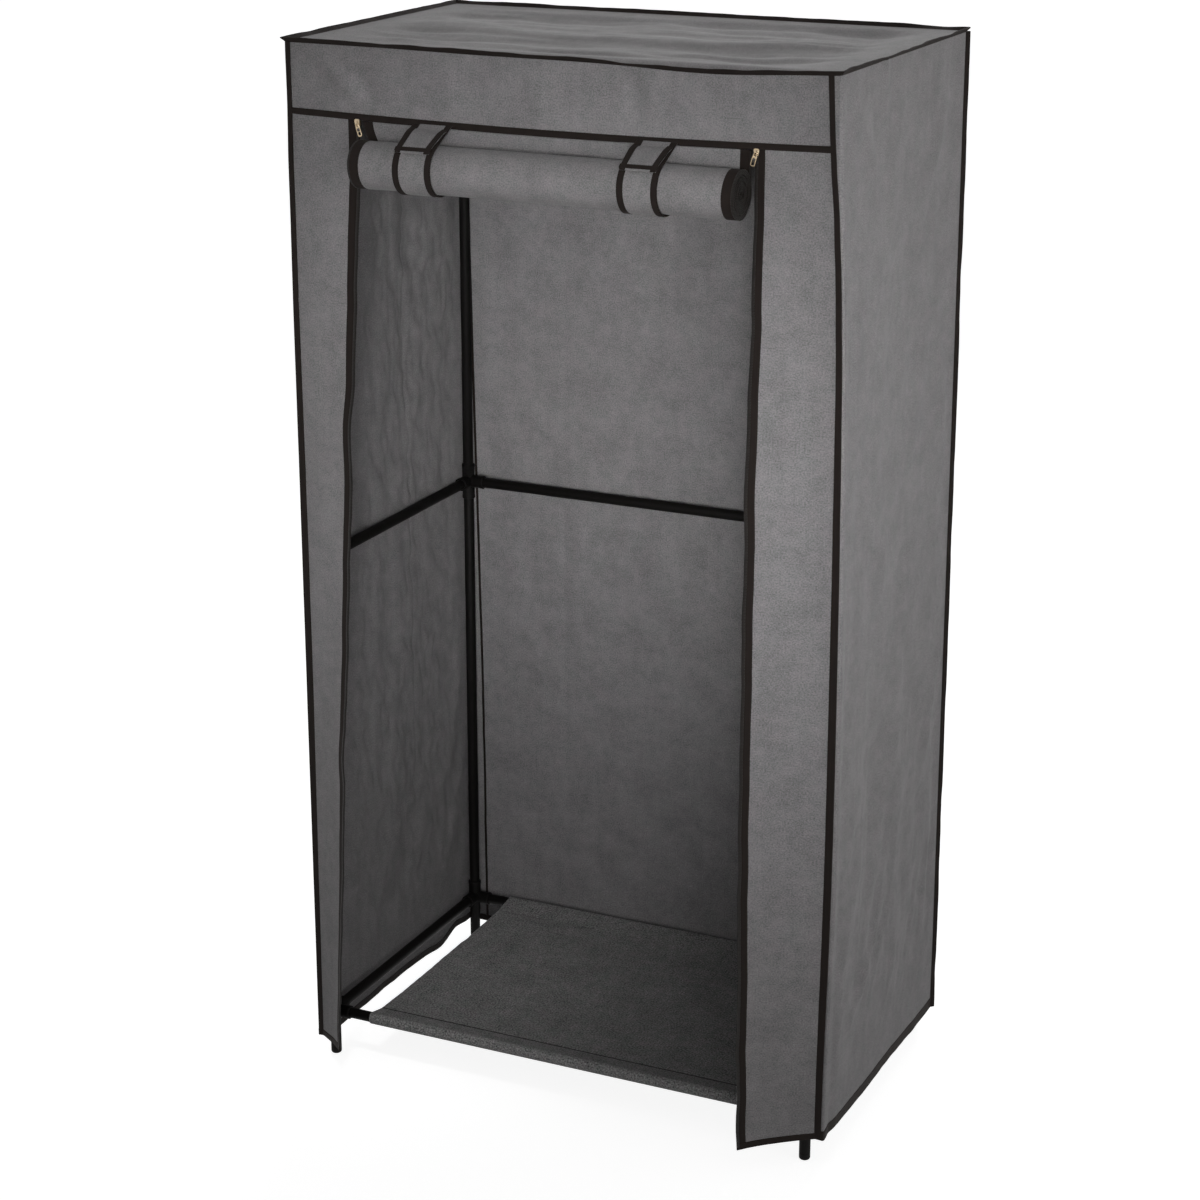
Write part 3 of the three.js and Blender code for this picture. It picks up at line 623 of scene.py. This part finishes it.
for name in ("left", "right"):
    surface, tapeWide = partial(flapSurface, flapOf[name]), flapOf[name].tape
    clothSpan = (-flaps.above, flapWide - tapeWide + flaps.lap)
    dropSpan = (-flaps.above, flapDrop)
    tapeSpan = (flapWide - tapeWide, flapWide - flaps.chain)
    chainSpan = (flapWide - flaps.chain, flapWide)
    hemSpan = (flapDrop - flaps.hem, flapDrop)
    cloth = clothPatch(f"front_flap_cloth_{name}", "cloth", surface, clothSpan, dropSpan,
                       replaced=[f"front_flap_{name}"])
    edges = [clothPatch(f"flap_zip_tape_{name}", "thinTape", surface, tapeSpan, dropSpan,
                        replaced=[f"zip_tape_{name}"]),
             clothPatch(f"flap_zip_chain_{name}", "chain", surface, chainSpan, (0, flapDrop - flaps.above)),
             clothPatch(f"flap_hem_tape_{name}", "tape", surface, (0, flapWide), hemSpan,
                        replaced=[f"flap_hem_binding_{name}"], alongB=False)]
print("front flaps made")


# Cloth that follows a path in Y and Z
def pathAlong(points):
    lengths = [0.0]
    for before, after in zip(points, points[1:]):
        lengths.append(lengths[-1] + (after - before).length)

    def at(length):
        i = next((k for k, reached in enumerate(lengths[1:]) if reached >= length), len(points) - 2)
        share = (length - lengths[i]) / max(lengths[i + 1] - lengths[i], 1e-9)
        return points[i].lerp(points[i + 1], share)
    return at, lengths[-1]


# Rolled door
roll = Settings(diameter=0.069, core=0.004, layer=0.0015, back=0.0002, down=0.0003, tape=0.0175, chain=0.0035,
                lap=0.001, dent=0.0012, creep=0.004, leftShort=0.011, rightShort=0.003, pitch=(0.0125, 0.0035))
rollLow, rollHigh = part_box("door_panel_rolled")
rollRadius = roll.diameter / 2
rollY, rollZ = rollLow.y + rollRadius - roll.back, rollLow.z + rollRadius - roll.down
doorHalf = rollHigh.x


def onRoll(radius, turn):
    return Vector((rollY - radius * cos(turn), rollZ + radius * sin(turn)))


def touchTurn(point, radius, behind):
    forward, up = rollY - point.x, point.y - rollZ
    return atan2(up, forward) + (1 if behind else -1) * acos(radius / hypot(forward, up))


outerRadius = rollRadius - roll.layer / 2
doorStart = Vector((frontY, flapTop))
doorTouch = touchTurn(doorStart, outerRadius, True)
doorHanging = (onRoll(outerRadius, doorTouch) - doorStart).length
layerPitch = pi * (outerRadius ** 2 - roll.core ** 2) / (flapDrop - doorHanging)


def doorSurface(x, length):
    if length < doorHanging:
        place = doorStart.lerp(onRoll(outerRadius, doorTouch), length / doorHanging)
        turn = 0
    else:
        wound = length - doorHanging
        root = max(outerRadius ** 2 - layerPitch * wound / pi, roll.core ** 2)
        turn = (outerRadius - sqrt(root)) * tau / layerPitch
        dent = roll.dent * ripple(x, turn * 0.03, 41, 0.09) * max(0, 1 - turn / 9)
        place = onRoll(outerRadius - layerPitch * turn / tau - abs(dent), doorTouch + turn)
    # the layers end at different depths inside the roll's ends, and the ends are drawn in, the left one more
    creep = roll.creep * min(noise.noise(Vector((turn * 0.35, 2.2, 0))) - 0.5, 0) * (x / doorHalf) ** 5
    drawn = soften(length / doorHanging) * mix(roll.leftShort, -roll.rightShort, (1 + x / doorHalf) / 2)
    hung = Vector((x, place.x, place.y))
    return belowSeam(hung, length, doorHanging) + Vector((creep + drawn, 0, 0))


tapeIn = doorHalf - roll.tape
chainIn = doorHalf - roll.chain
clothHalf = tapeIn + roll.lap
doorSpan = (0, flapDrop)
doorCloth = clothPatch("door_cloth_rolled", "cloth", doorSurface, (-clothHalf, clothHalf), doorSpan,
                       replaced=["door_panel_rolled"], pitch=roll.pitch)
for name, side in sides:
    for edge, kind, inner, outer in (("tape", "thinTape", tapeIn, chainIn), ("chain", "doorChain", chainIn, doorHalf)):
        clothPatch(f"door_zip_{edge}_{name}", kind, doorSurface,
                                    sorted((side * inner, side * outer)), doorSpan, pitch=roll.pitch)
print("door rolled up")

# Straps behind and under the roll, and the tabs that come down over them
straps = Settings(wide=0.058, binding=0.0095, gap=0.0006, thick=0.0012, tabEndAngle=40, flare=-0.003, steps=40,
                  tabLift=0.0012, tip=0.0016, bar=0.0068, barUp=0.003, freeEnd=0.97,
                  lean={"strap": (0.72, 0.002), "tab": (0.1, -0.0014)}, seamReach=0.025, behind=0.0018, before=0.0008,
                  tabBefore=0.0032, tabUp=0.002, pitch=(0.008, 0.003), edgePitch=(0.004, 0.003), lineSteps=8)


def strapPath():
    radius = rollRadius + straps.gap + straps.thick / 2
    start = Vector((frontY + straps.behind, flapTop))
    touch = touchTurn(start, radius, True)
    seamFront = Vector((frontY - straps.before, flapTop))
    leave = touchTurn(seamFront, radius, False)
    steps, turnSteps = straps.lineSteps, straps.steps
    points = [start.lerp(onRoll(radius, touch), i / steps) for i in range(steps)]
    points += [onRoll(radius, mix(touch, leave + tau, i / turnSteps)) for i in range(turnSteps + 1)]
    left = onRoll(radius, leave)
    return points + [left.lerp(seamFront, straps.freeEnd * i / steps) for i in range(1, steps + 1)]


def tabPath():
    radius = rollRadius + straps.gap * 2 + straps.thick * 2 + straps.tabLift
    start = Vector((frontY - straps.tabBefore, flapTop + straps.tabUp))
    touch = touchTurn(start, radius, False)
    end = radians(straps.tabEndAngle)
    steps = straps.lineSteps
    points = [start.lerp(onRoll(radius, touch), i / steps) for i in range(steps)]
    return points + [onRoll(radius, mix(touch, end, i / steps)) for i in range(steps + 1)]


def along(path, left, leanFrom, lean, flare, a, b):
    # a strip along a path, which leans to one side and narrows or widens after a share of its length
    at, length = path
    share = a / straps.wide * 2 - 1
    late = soften((b / length - leanFrom) / (1 - leanFrom))
    y, z = at(min(b, length))
    hung = belowSeam(Vector((left + a, y, z)), b, straps.seamReach)
    return hung + Vector(((flare * share + lean) * late, 0, 0))


strapAt, tabAt = pathAlong(strapPath()), pathAlong(tabPath())
span, edge, tip = (0, straps.wide), straps.binding, straps.tip
barEnd = tabAt[1] - straps.barUp
for name in ("left", "right"):
    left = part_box(f"roll_strap_{name}")[0].x
    for kind, path, flare, body, node in (
            ("strap", strapAt, 0, "wardrobe", f"roll_strap_{name}"),
            ("tab", tabAt, straps.flare, f"tab_{name}", f"strap_tab_{name}")):
        surface = partial(along, path, left, *straps.lean[kind], flare)
        length = (0, path[1])
        cloth = clothPatch(f"{kind}_cloth_{name}", "cloth", surface, span, length, body=body, pitch=straps.pitch,
                           replaced=[node])
        edges = [clothPatch(f"{kind}_binding_{name}_{place}", "strapTape", surface, reach, length, body=body,
                            pitch=straps.edgePitch)
                 for place, reach in (("outer", (0, edge)), ("inner", (span[1] - edge, span[1])))]
        if kind == "tab":
            edges.append(clothPatch(f"tab_binding_{name}_end", "strapTape", surface, (-tip, span[1] + tip),
                                    (barEnd - straps.bar, barEnd), body=body, pitch=straps.pitch, alongB=False))
        flatSize(span, length)
print("straps and tabs made")

# Shelf cloth, with a sleeve sewn round the front and the back tube, rows of stitches over each seam, and a dark strip
# along each seam that is painted shadow of the fold
shelf = Settings(seam={-1: 0.03, 1: 0.041}, sideGap=0.011, sag=0.0025, layer=0.0013, sleeveSteps=10,
                 sleeveTurn=(20, 160), flatSteps=24, wrinkle=0.0016, seamLine=0.003, stitchEvery=0.0046,
                 stitch=(0.0034, 0.0009, 0.0005), stitchEdge=0.0002, stitchIn=0.003, rowGap=0.004, proud=0.0005,
                 sunk=0.0004)
shelfLow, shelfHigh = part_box("shelf_cloth")


def shelfPath():
    radius, steps = tubeRadius + shelf.layer, shelf.sleeveSteps
    points = []
    for tubeY, end in ((frontPostY, -1), (backPostY, 1)):
        seam = Vector((tubeY - end * shelf.seam[end], bottomLevel))
        turns = [radians(mix(*shelf.sleeveTurn, i / steps)) for i in range(steps + 1)]
        arc = [Vector((tubeY + end * radius * sin(t), bottomLevel - radius * cos(t))) for t in turns]
        loop = [seam - Vector((0, shelf.layer)), *arc, seam + Vector((0, shelf.layer))]
        if end > 0:
            loop.reverse()
        points.append(loop)
    front, back = points[0][-1], points[1][0]
    for i in range(1, shelf.flatSteps):
        share = i / shelf.flatSteps
        points[0].append(front.lerp(back, share) - Vector((0, shelf.sag * 4 * share * (1 - share))))
    return pathAlong(points[0] + points[1])


shelfAt, shelfLength = shelfPath()


def shelfSurface(a, b):
    y, z = shelfAt(b)
    free = soften((y - frontPostY - 0.03) / 0.05) * soften((backPostY - 0.03 - y) / 0.05)
    dip = shelf.wrinkle * (ripple(a, b, 51, 0.12) + 0.5 * ripple(a, b, 53, 0.04)) * free
    return Vector((shelfLow.x + shelf.sideGap + a, y, z + dip))


shelfWide = (0, shelfHigh.x - shelfLow.x - shelf.sideGap * 2)
shelfPiece = clothPatch("shelf_cloth_slung", "shelf", shelfSurface, shelfWide, (0, shelfLength),
                        pitch=(0.012, 0.004), replaced=["shelf_cloth"])


def stitchRow(name, start, end):
    # short raised stitches in a row over a seam
    run = end - start
    count = int(run.length / shelf.stitchEvery)
    bm = bmesh.new()
    for i in range(count):
        addCube(bm, shelf.stitch, start + run * ((i + 0.5) / count))
    roundEdges(makePiece(name, bm, "seamThread", "wardrobe"), shelf.stitchEdge)


seamZ = bottomLevel + shelf.layer + shelf.proud
ends = [shelfLow.x + shelf.sideGap + shelf.stitchIn, shelfHigh.x - shelf.sideGap - shelf.stitchIn]
for place, y, inward in (("front", frontPostY + shelf.seam[-1], 1), ("back", backPostY - shelf.seam[1], -1)):
    for line, across in (("near", 0.0), ("far", shelf.rowGap)):
        z = seamZ - (0 if place == "front" and line == "near" else shelf.sunk)
        stitchRow(f"shelf_stitches_{place}_{line}", *(Vector((x, y + inward * across, z)) for x in ends))

    # a dark strip under the stitches: painted shadow of the fold where the sleeve's top layer ends
    def seamLine(a, b):
        return Vector((shelfLow.x + shelf.sideGap + a, y + b, seamZ))
    clothPatch(f"shelf_painted_seam_shadow_{place}", "seamLine", seamLine, shelfWide, (0, shelf.seamLine))
print("shelf cloth made")

# Rack: round tubes in moulded connectors
rack = Settings(sides=40, sleeve=0.0098, hub=0.0099, collar=0.0103, collarLength=0.0045, socket=0.0082,
                socketFloor=0.0125, arm=0.028, leg=0.0082, cap=0.011, groove=0.0004, roundEdge=0.0006,
                footRound=0.0035)


def makeTube(node):
    low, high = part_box(node)
    size = high - low
    axis = max(range(3), key=lambda i: size[i])
    turn = (Matrix.Rotation(pi / 2, 4, "Y"), Matrix.Rotation(pi / 2, 4, "X"), Matrix.Identity(4))[axis]
    bm = bmesh.new()
    ops.create_cone(bm, segments=rack.sides, cap_ends=True, radius1=tubeRadius, radius2=tubeRadius,
                          depth=size[axis])
    rims = [edge for edge in bm.edges if len({round(vert.co.z, 5) for vert in edge.verts}) == 1]
    bevelEdges(bm, rims, rack.roundEdge)
    ops.transform(bm, matrix=Matrix.Translation((low + high) / 2) @ turn, verts=bm.verts)
    for face in bm.faces:
        face.smooth = len(face.verts) == 4
    makePiece(f"{node}_painted", bm, "paintedTube", "wardrobe", [node])


for node in sorted(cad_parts):
    if "_tube_" in node or "_post_" in node or node == "hanging_rail":
        makeTube(node)
print("tubes made")


def spinBody(bm, profile, centre, axis, steps):
    # a closed turned body from (radius, distance along the axis) points
    before = set(bm.verts)
    across = axis.orthogonal().normalized()
    verts = [bm.verts.new(centre + across * radius + axis * reach) for radius, reach in profile]
    edges = [bm.edges.new(pair) for pair in zip(verts, verts[1:])]
    ops.spin(bm, geom=verts + edges, cent=centre, axis=axis, dvec=(0, 0, 0), angle=tau, steps=steps,
                   use_merge=True, use_duplicate=False)
    ops.remove_doubles(bm, verts=addedSince(bm, before), dist=1e-6)
    ops.recalc_face_normals(bm, faces=around(addedSince(bm, before), "link_faces"))


def armProfile():
    sleeve, collar, socket, arm = rack.sleeve, rack.collar, rack.socket, rack.arm
    step = rack.roundEdge
    back = arm - rack.collarLength
    return [(0, 0), (sleeve, 0), (sleeve, back - step), (collar, back), (collar, arm - step), (collar - step, arm),
            (socket + step / 2, arm), (socket, arm - step), (socket, rack.socketFloor), (0, rack.socketFloor)]


def legProfile():
    leg, cap, groove, bend = rack.leg, bottomLevel - rack.cap, rack.groove, rack.footRound
    turns = [radians(22.5 * i) for i in range(5)]
    end = [(leg - bend + bend * cos(turn), bottomLevel - bend + bend * sin(turn)) for turn in turns]
    return [(0, 0), (leg, 0), (leg, cap - groove * 2), (leg - groove, cap - groove), (leg - groove, cap),
            (leg, cap + groove), *end, (0, bottomLevel)]


def makeConnector(node, centre, arms, footed):
    bm = bmesh.new()
    for arm in arms:
        spinBody(bm, armProfile(), centre, arm, rack.sides)
    if footed:
        spinBody(bm, legProfile(), centre, Vector((0, 0, -1)), rack.sides)
    hub = ops.create_uvsphere(bm, u_segments=rack.sides, v_segments=rack.sides // 2, radius=rack.hub)
    ops.translate(bm, verts=hub["verts"], vec=centre)
    smoothShade(bm)
    makePiece(f"{node}_moulded", bm, "mouldedPlastic", "wardrobe", [node])


up, back = Vector((0, 0, 1)), Vector((0, 1, 0))
for name, side in sides:
    inward = Vector((-side, 0, 0))
    makeConnector(f"rail_connector_{name}", Vector((side * postX, railY, topLevel)), [back, -back, inward], False)
    for depth, y, inside in (("front", frontPostY, back), ("back", backPostY, -back)):
        post = Vector((side * postX, y, 0))
        middleArms = [up, -up, inside] + ([inward] if depth == "back" else [])
        makeConnector(f"bottom_connector_{depth}_{name}", post + up * bottomLevel, [up, inward, inside], True)
        makeConnector(f"middle_connector_{depth}_{name}", post + up * middleLevel, middleArms, False)
        makeConnector(f"top_connector_{depth}_{name}", post + up * topLevel, [-up, inward, inside], False)
print("connectors made")

# Zip sliders, each on the chain edge of its flap, with a pull that leans a little
zips = Settings(plate=0.0012, edge=0.0003, chainIn=0.00075, web=(0.0014, 0.0008, 1.5), sides=16, bridgeRod=0.00062,
                bridgeWide=1.5, bridgeReach=0.0026, bridgeSteps=12, neck=0.0024, neckDown=0.0016, foot=0.0034,
                eye=0.0015, eyeFrom=0.0021, eyeTo=0.004, pullThick=0.0012, bodyFrom=0.0072, bodyRound=0.0024,
                hole=(0.0019, 0.0024, 0.0151), holeRound=0.6, inlay=(0.0042, 0.0044, 0.0098, 0.0002), sharp=60,
                tilt={1: 16, -1: 18}, shield=((-0.62, -1), (0.62, -1), (0.98, 0.25), (0.94, 0.78), (0.55, 1),
                (-0.55, 1), (-0.94, 0.78), (-0.98, 0.25)))


def arc(x, z, radius, start, end, steps):
    turns = [radians(mix(start, end, i / steps)) for i in range(steps + 1)]
    return [(x + radius * cos(turn), z + radius * sin(turn)) for turn in turns]


def plateFrom(bm, loops, y, thick, edge):
    # a flat plate with holes, in X and Z, from its outline and the loops of its holes
    before = set(bm.verts)
    rims = []
    for loop in loops:
        verts = [bm.verts.new((x, y - thick / 2, z)) for x, z in loop]
        rims += [bm.edges.new(pair) for pair in zip(verts, verts[1:] + verts[:1])]
    faces = [part for part in ops.triangle_fill(bm, use_beauty=True, edges=rims)["geom"]
             if isinstance(part, bmesh.types.BMFace)]
    grown = ops.extrude_face_region(bm, geom=faces, use_keep_orig=True)["geom"]
    ops.translate(bm, verts=[part for part in grown if isinstance(part, bmesh.types.BMVert)], vec=(0, thick, 0))
    faces = around(addedSince(bm, before), "link_faces")
    ops.recalc_face_normals(bm, faces=faces)
    sharp = [line for line in {edge for face in faces for edge in face.edges}
             if len(line.link_faces) == 2 and abs(line.verts[0].co.y - line.verts[1].co.y) < 1e-7
             and line.calc_face_angle(0) > radians(zips.sharp)]
    bevelEdges(bm, sharp, edge, clamp=True)


def zipBox(bm, size, centre, edge):
    made = addCube(bm, size, centre)
    bevelEdges(bm, around(made, "link_edges"), edge)


def makeSlider(name, side):
    low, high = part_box(f"zip_slider_{name}")
    x, z = (low.x + high.x) / 2, (low.z + high.z) / 2
    wide, tall = (high.x - low.x) / 2, (high.z - low.z) / 2
    chainY = frontOuter + zips.chainIn
    shield = [(x + wide * a, z + tall * b) for a, b in zips.shield]
    bm = bmesh.new()
    back, front = high.y - zips.plate / 2, chainY - (high.y - chainY) + zips.plate / 2
    for y in (back, front):
        plateFrom(bm, [shield], y, zips.plate, zips.edge)
    webWide, webOut, webTall = zips.web
    webX = abs(low.x if side > 0 else high.x) + webOut
    zipBox(bm, (webWide, back - front, tall * webTall), (side * webX, (back + front) / 2, z), zips.edge)
    rod = ops.create_circle(bm, cap_ends=False, segments=zips.sides, radius=zips.bridgeRod)["verts"]
    ops.scale(bm, vec=(zips.bridgeWide, 1, 1), verts=rod)
    ops.translate(bm, vec=(x, front, z + zips.bridgeReach), verts=rod)
    ops.spin(bm, geom=rod + around(rod, "link_edges"), cent=(x, front, z), axis=(1, 0, 0), dvec=(0, 0, 0), angle=pi,
                   steps=zips.bridgeSteps, use_duplicate=False)
    ops.holes_fill(bm, edges=[edge for edge in bm.edges if edge.is_boundary], sides=zips.sides)
    ops.recalc_face_normals(bm, faces=bm.faces)
    smoothShade(bm)
    makePiece(f"zip_slider_cast_{name}", bm, "zipMetal", f"slider_{name}", [f"zip_slider_{name}"])


def makePull(name, side):
    low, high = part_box(f"zip_pull_{name}")
    x, y = (low.x + high.x) / 2, (low.y + high.y) / 2
    pivot = high.z - zips.pullThick / 2
    half, bend = zips.foot, zips.bodyRound
    outline = [*arc(x, pivot - zips.neckDown, zips.neck, 0, 180, 12), (x - half, pivot - zips.bodyFrom),
               *arc(x - half + bend, low.z + bend, bend, 180, 270, 6),
               *arc(x + half - bend, low.z + bend, bend, 270, 360, 6), (x + half, pivot - zips.bodyFrom)]
    eye = [*arc(x, pivot - zips.eyeFrom, zips.eye, 0, 180, 8),
           *arc(x, pivot - zips.eyeTo, zips.eye, 180, 360, 8)]
    holeHalf, holeTall, holeDown = zips.hole
    holeRound = holeHalf * zips.holeRound
    hole = [point for cornerX, cornerZ, start in ((1, 1, 0), (-1, 1, 90), (-1, -1, 180), (1, -1, 270))
            for point in arc(x + cornerX * (holeHalf - holeRound), pivot - holeDown + cornerZ * (holeTall - holeRound),
                             holeRound, start, start + 90, 4)]
    tilt = Matrix.Rotation(radians(zips.tilt[side]) * side, 4, "Y")
    about = Matrix.Translation((x, y, pivot))
    leaned = about @ tilt @ about.inverted()
    bm = bmesh.new()
    plateFrom(bm, [outline, eye, hole], y, zips.pullThick, zips.edge)
    ops.transform(bm, matrix=leaned, verts=bm.verts)
    smoothShade(bm)
    makePiece(f"zip_pull_cast_{name}", bm, "zipMetal", f"pull_{name}", [f"zip_pull_{name}"])
    wide, tall, inlayDown, proud = zips.inlay
    bm = bmesh.new()
    zipBox(bm, (wide, zips.pullThick + proud * 2, tall), (x, y, pivot - inlayDown), proud * 0.8)
    ops.transform(bm, matrix=leaned, verts=bm.verts)
    makePiece(f"zip_pull_inlay_{name}", bm, "pullInlay", f"pull_{name}")


for name, side in sides:
    makeSlider(name, side)
    makePull(name, side)
print("zips made")

# Stage, lamps and camera
stageSettings = Settings(floorSize=60, floorColour=(0.42, 0.42, 0.42), glow=0.88, ambient=0.24)


def seenRays(tree):
    # 1 for what the camera sees, straight or in a mirror or through glass, and 0 for light that falls on things
    rays = addNode(tree, "LightPath").outputs
    return mathNode(tree, "MAXIMUM", rays["Is Camera Ray"],
                    mathNode(tree, "MAXIMUM", rays["Is Glossy Ray"], rays["Is Transmission Ray"]))


def makeStage():
    look = {"colour": stageSettings.floorColour, "roughness": 1}
    material, tree, shader = newMaterial("studioFloor", look)
    shader.inputs["Emission Color"].default_value = (1, 1, 1, 1)
    tree.links.new(times(tree, seenRays(tree), stageSettings.glow), shader.inputs["Emission Strength"])
    bm = bmesh.new()
    ops.create_grid(bm, x_segments=1, y_segments=1, size=stageSettings.floorSize / 2)
    meshObject("studio_floor", bm, material)
    world = bpy.data.worlds.new("studio")
    scene.world = world
    world.use_nodes = True
    tree = world.node_tree
    sky = tree.nodes["Background"]
    sky.inputs["Color"].default_value = (1, 1, 1, 1)
    ambient = stageSettings.ambient
    tree.links.new(mathNode(tree, "MULTIPLY_ADD", seenRays(tree), 1 - ambient, ambient), sky.inputs["Strength"])


def addLamp(name, place, target, size, spread, watts):
    lamp = bpy.data.lights.new(name, "AREA")
    lamp.shape = "DISK"
    lamp.size = size
    lamp.spread = radians(spread)
    lamp.energy = watts
    holder = addObject(name, lamp)
    holder.location = place
    holder.rotation_euler = (Vector(target) - Vector(place)).to_track_quat("-Z", "Y").to_euler()


makeStage()
# Each lamp's place, target, size, spread in degrees and watts
lamps = {
    "frontLamp": ((2.8, -4.3, 1.0), (0.02, 0, 1.2), 1.4, 54, 4.4),
    "doorLamp": ((1.5, -3.7, 1.7), (-0.12, 0.2, 0.98), 0.9, 21, 2.7),
    "shelfLamp": ((0.3, -1.7, 3.2), (-0.32, 0.00, 0.08), 0.3, 15, 0.2),
    "rightLamp": ((4.9, -1.15, 1.2), (0, 0, 1.75), 2.0, 60, 11.8),
    "leftLamp": ((-4.8, -1.6, 1.2), (0, 0, 1.5), 2.0, 90, 0.6),
    "topLamp": ((0.2, 2.4, 3.4), (0, 0, 1.5), 1.4, 120, 11.5),
    "backLamp": ((-1.6, 5.6, 2.0), (0, 0, 1.4), 2.4, 80, 24),
}
for name, settings in lamps.items():
    addLamp(name, *settings)

view = Settings(place=(1.633, -3.553, 2.027), azimuth=0.438, pitch=0.32, lens=83.9, sensor=36)
camera = addObject("studioCamera", bpy.data.cameras.new("studioCamera"))
camera.data.sensor_width = view.sensor
camera.data.lens = view.lens
camera.location = view.place
camera.rotation_euler = (pi / 2 - view.pitch, 0, view.azimuth)
scene.camera = camera
scene.view_settings.view_transform = "Standard"
print("stage, lamps and camera set")
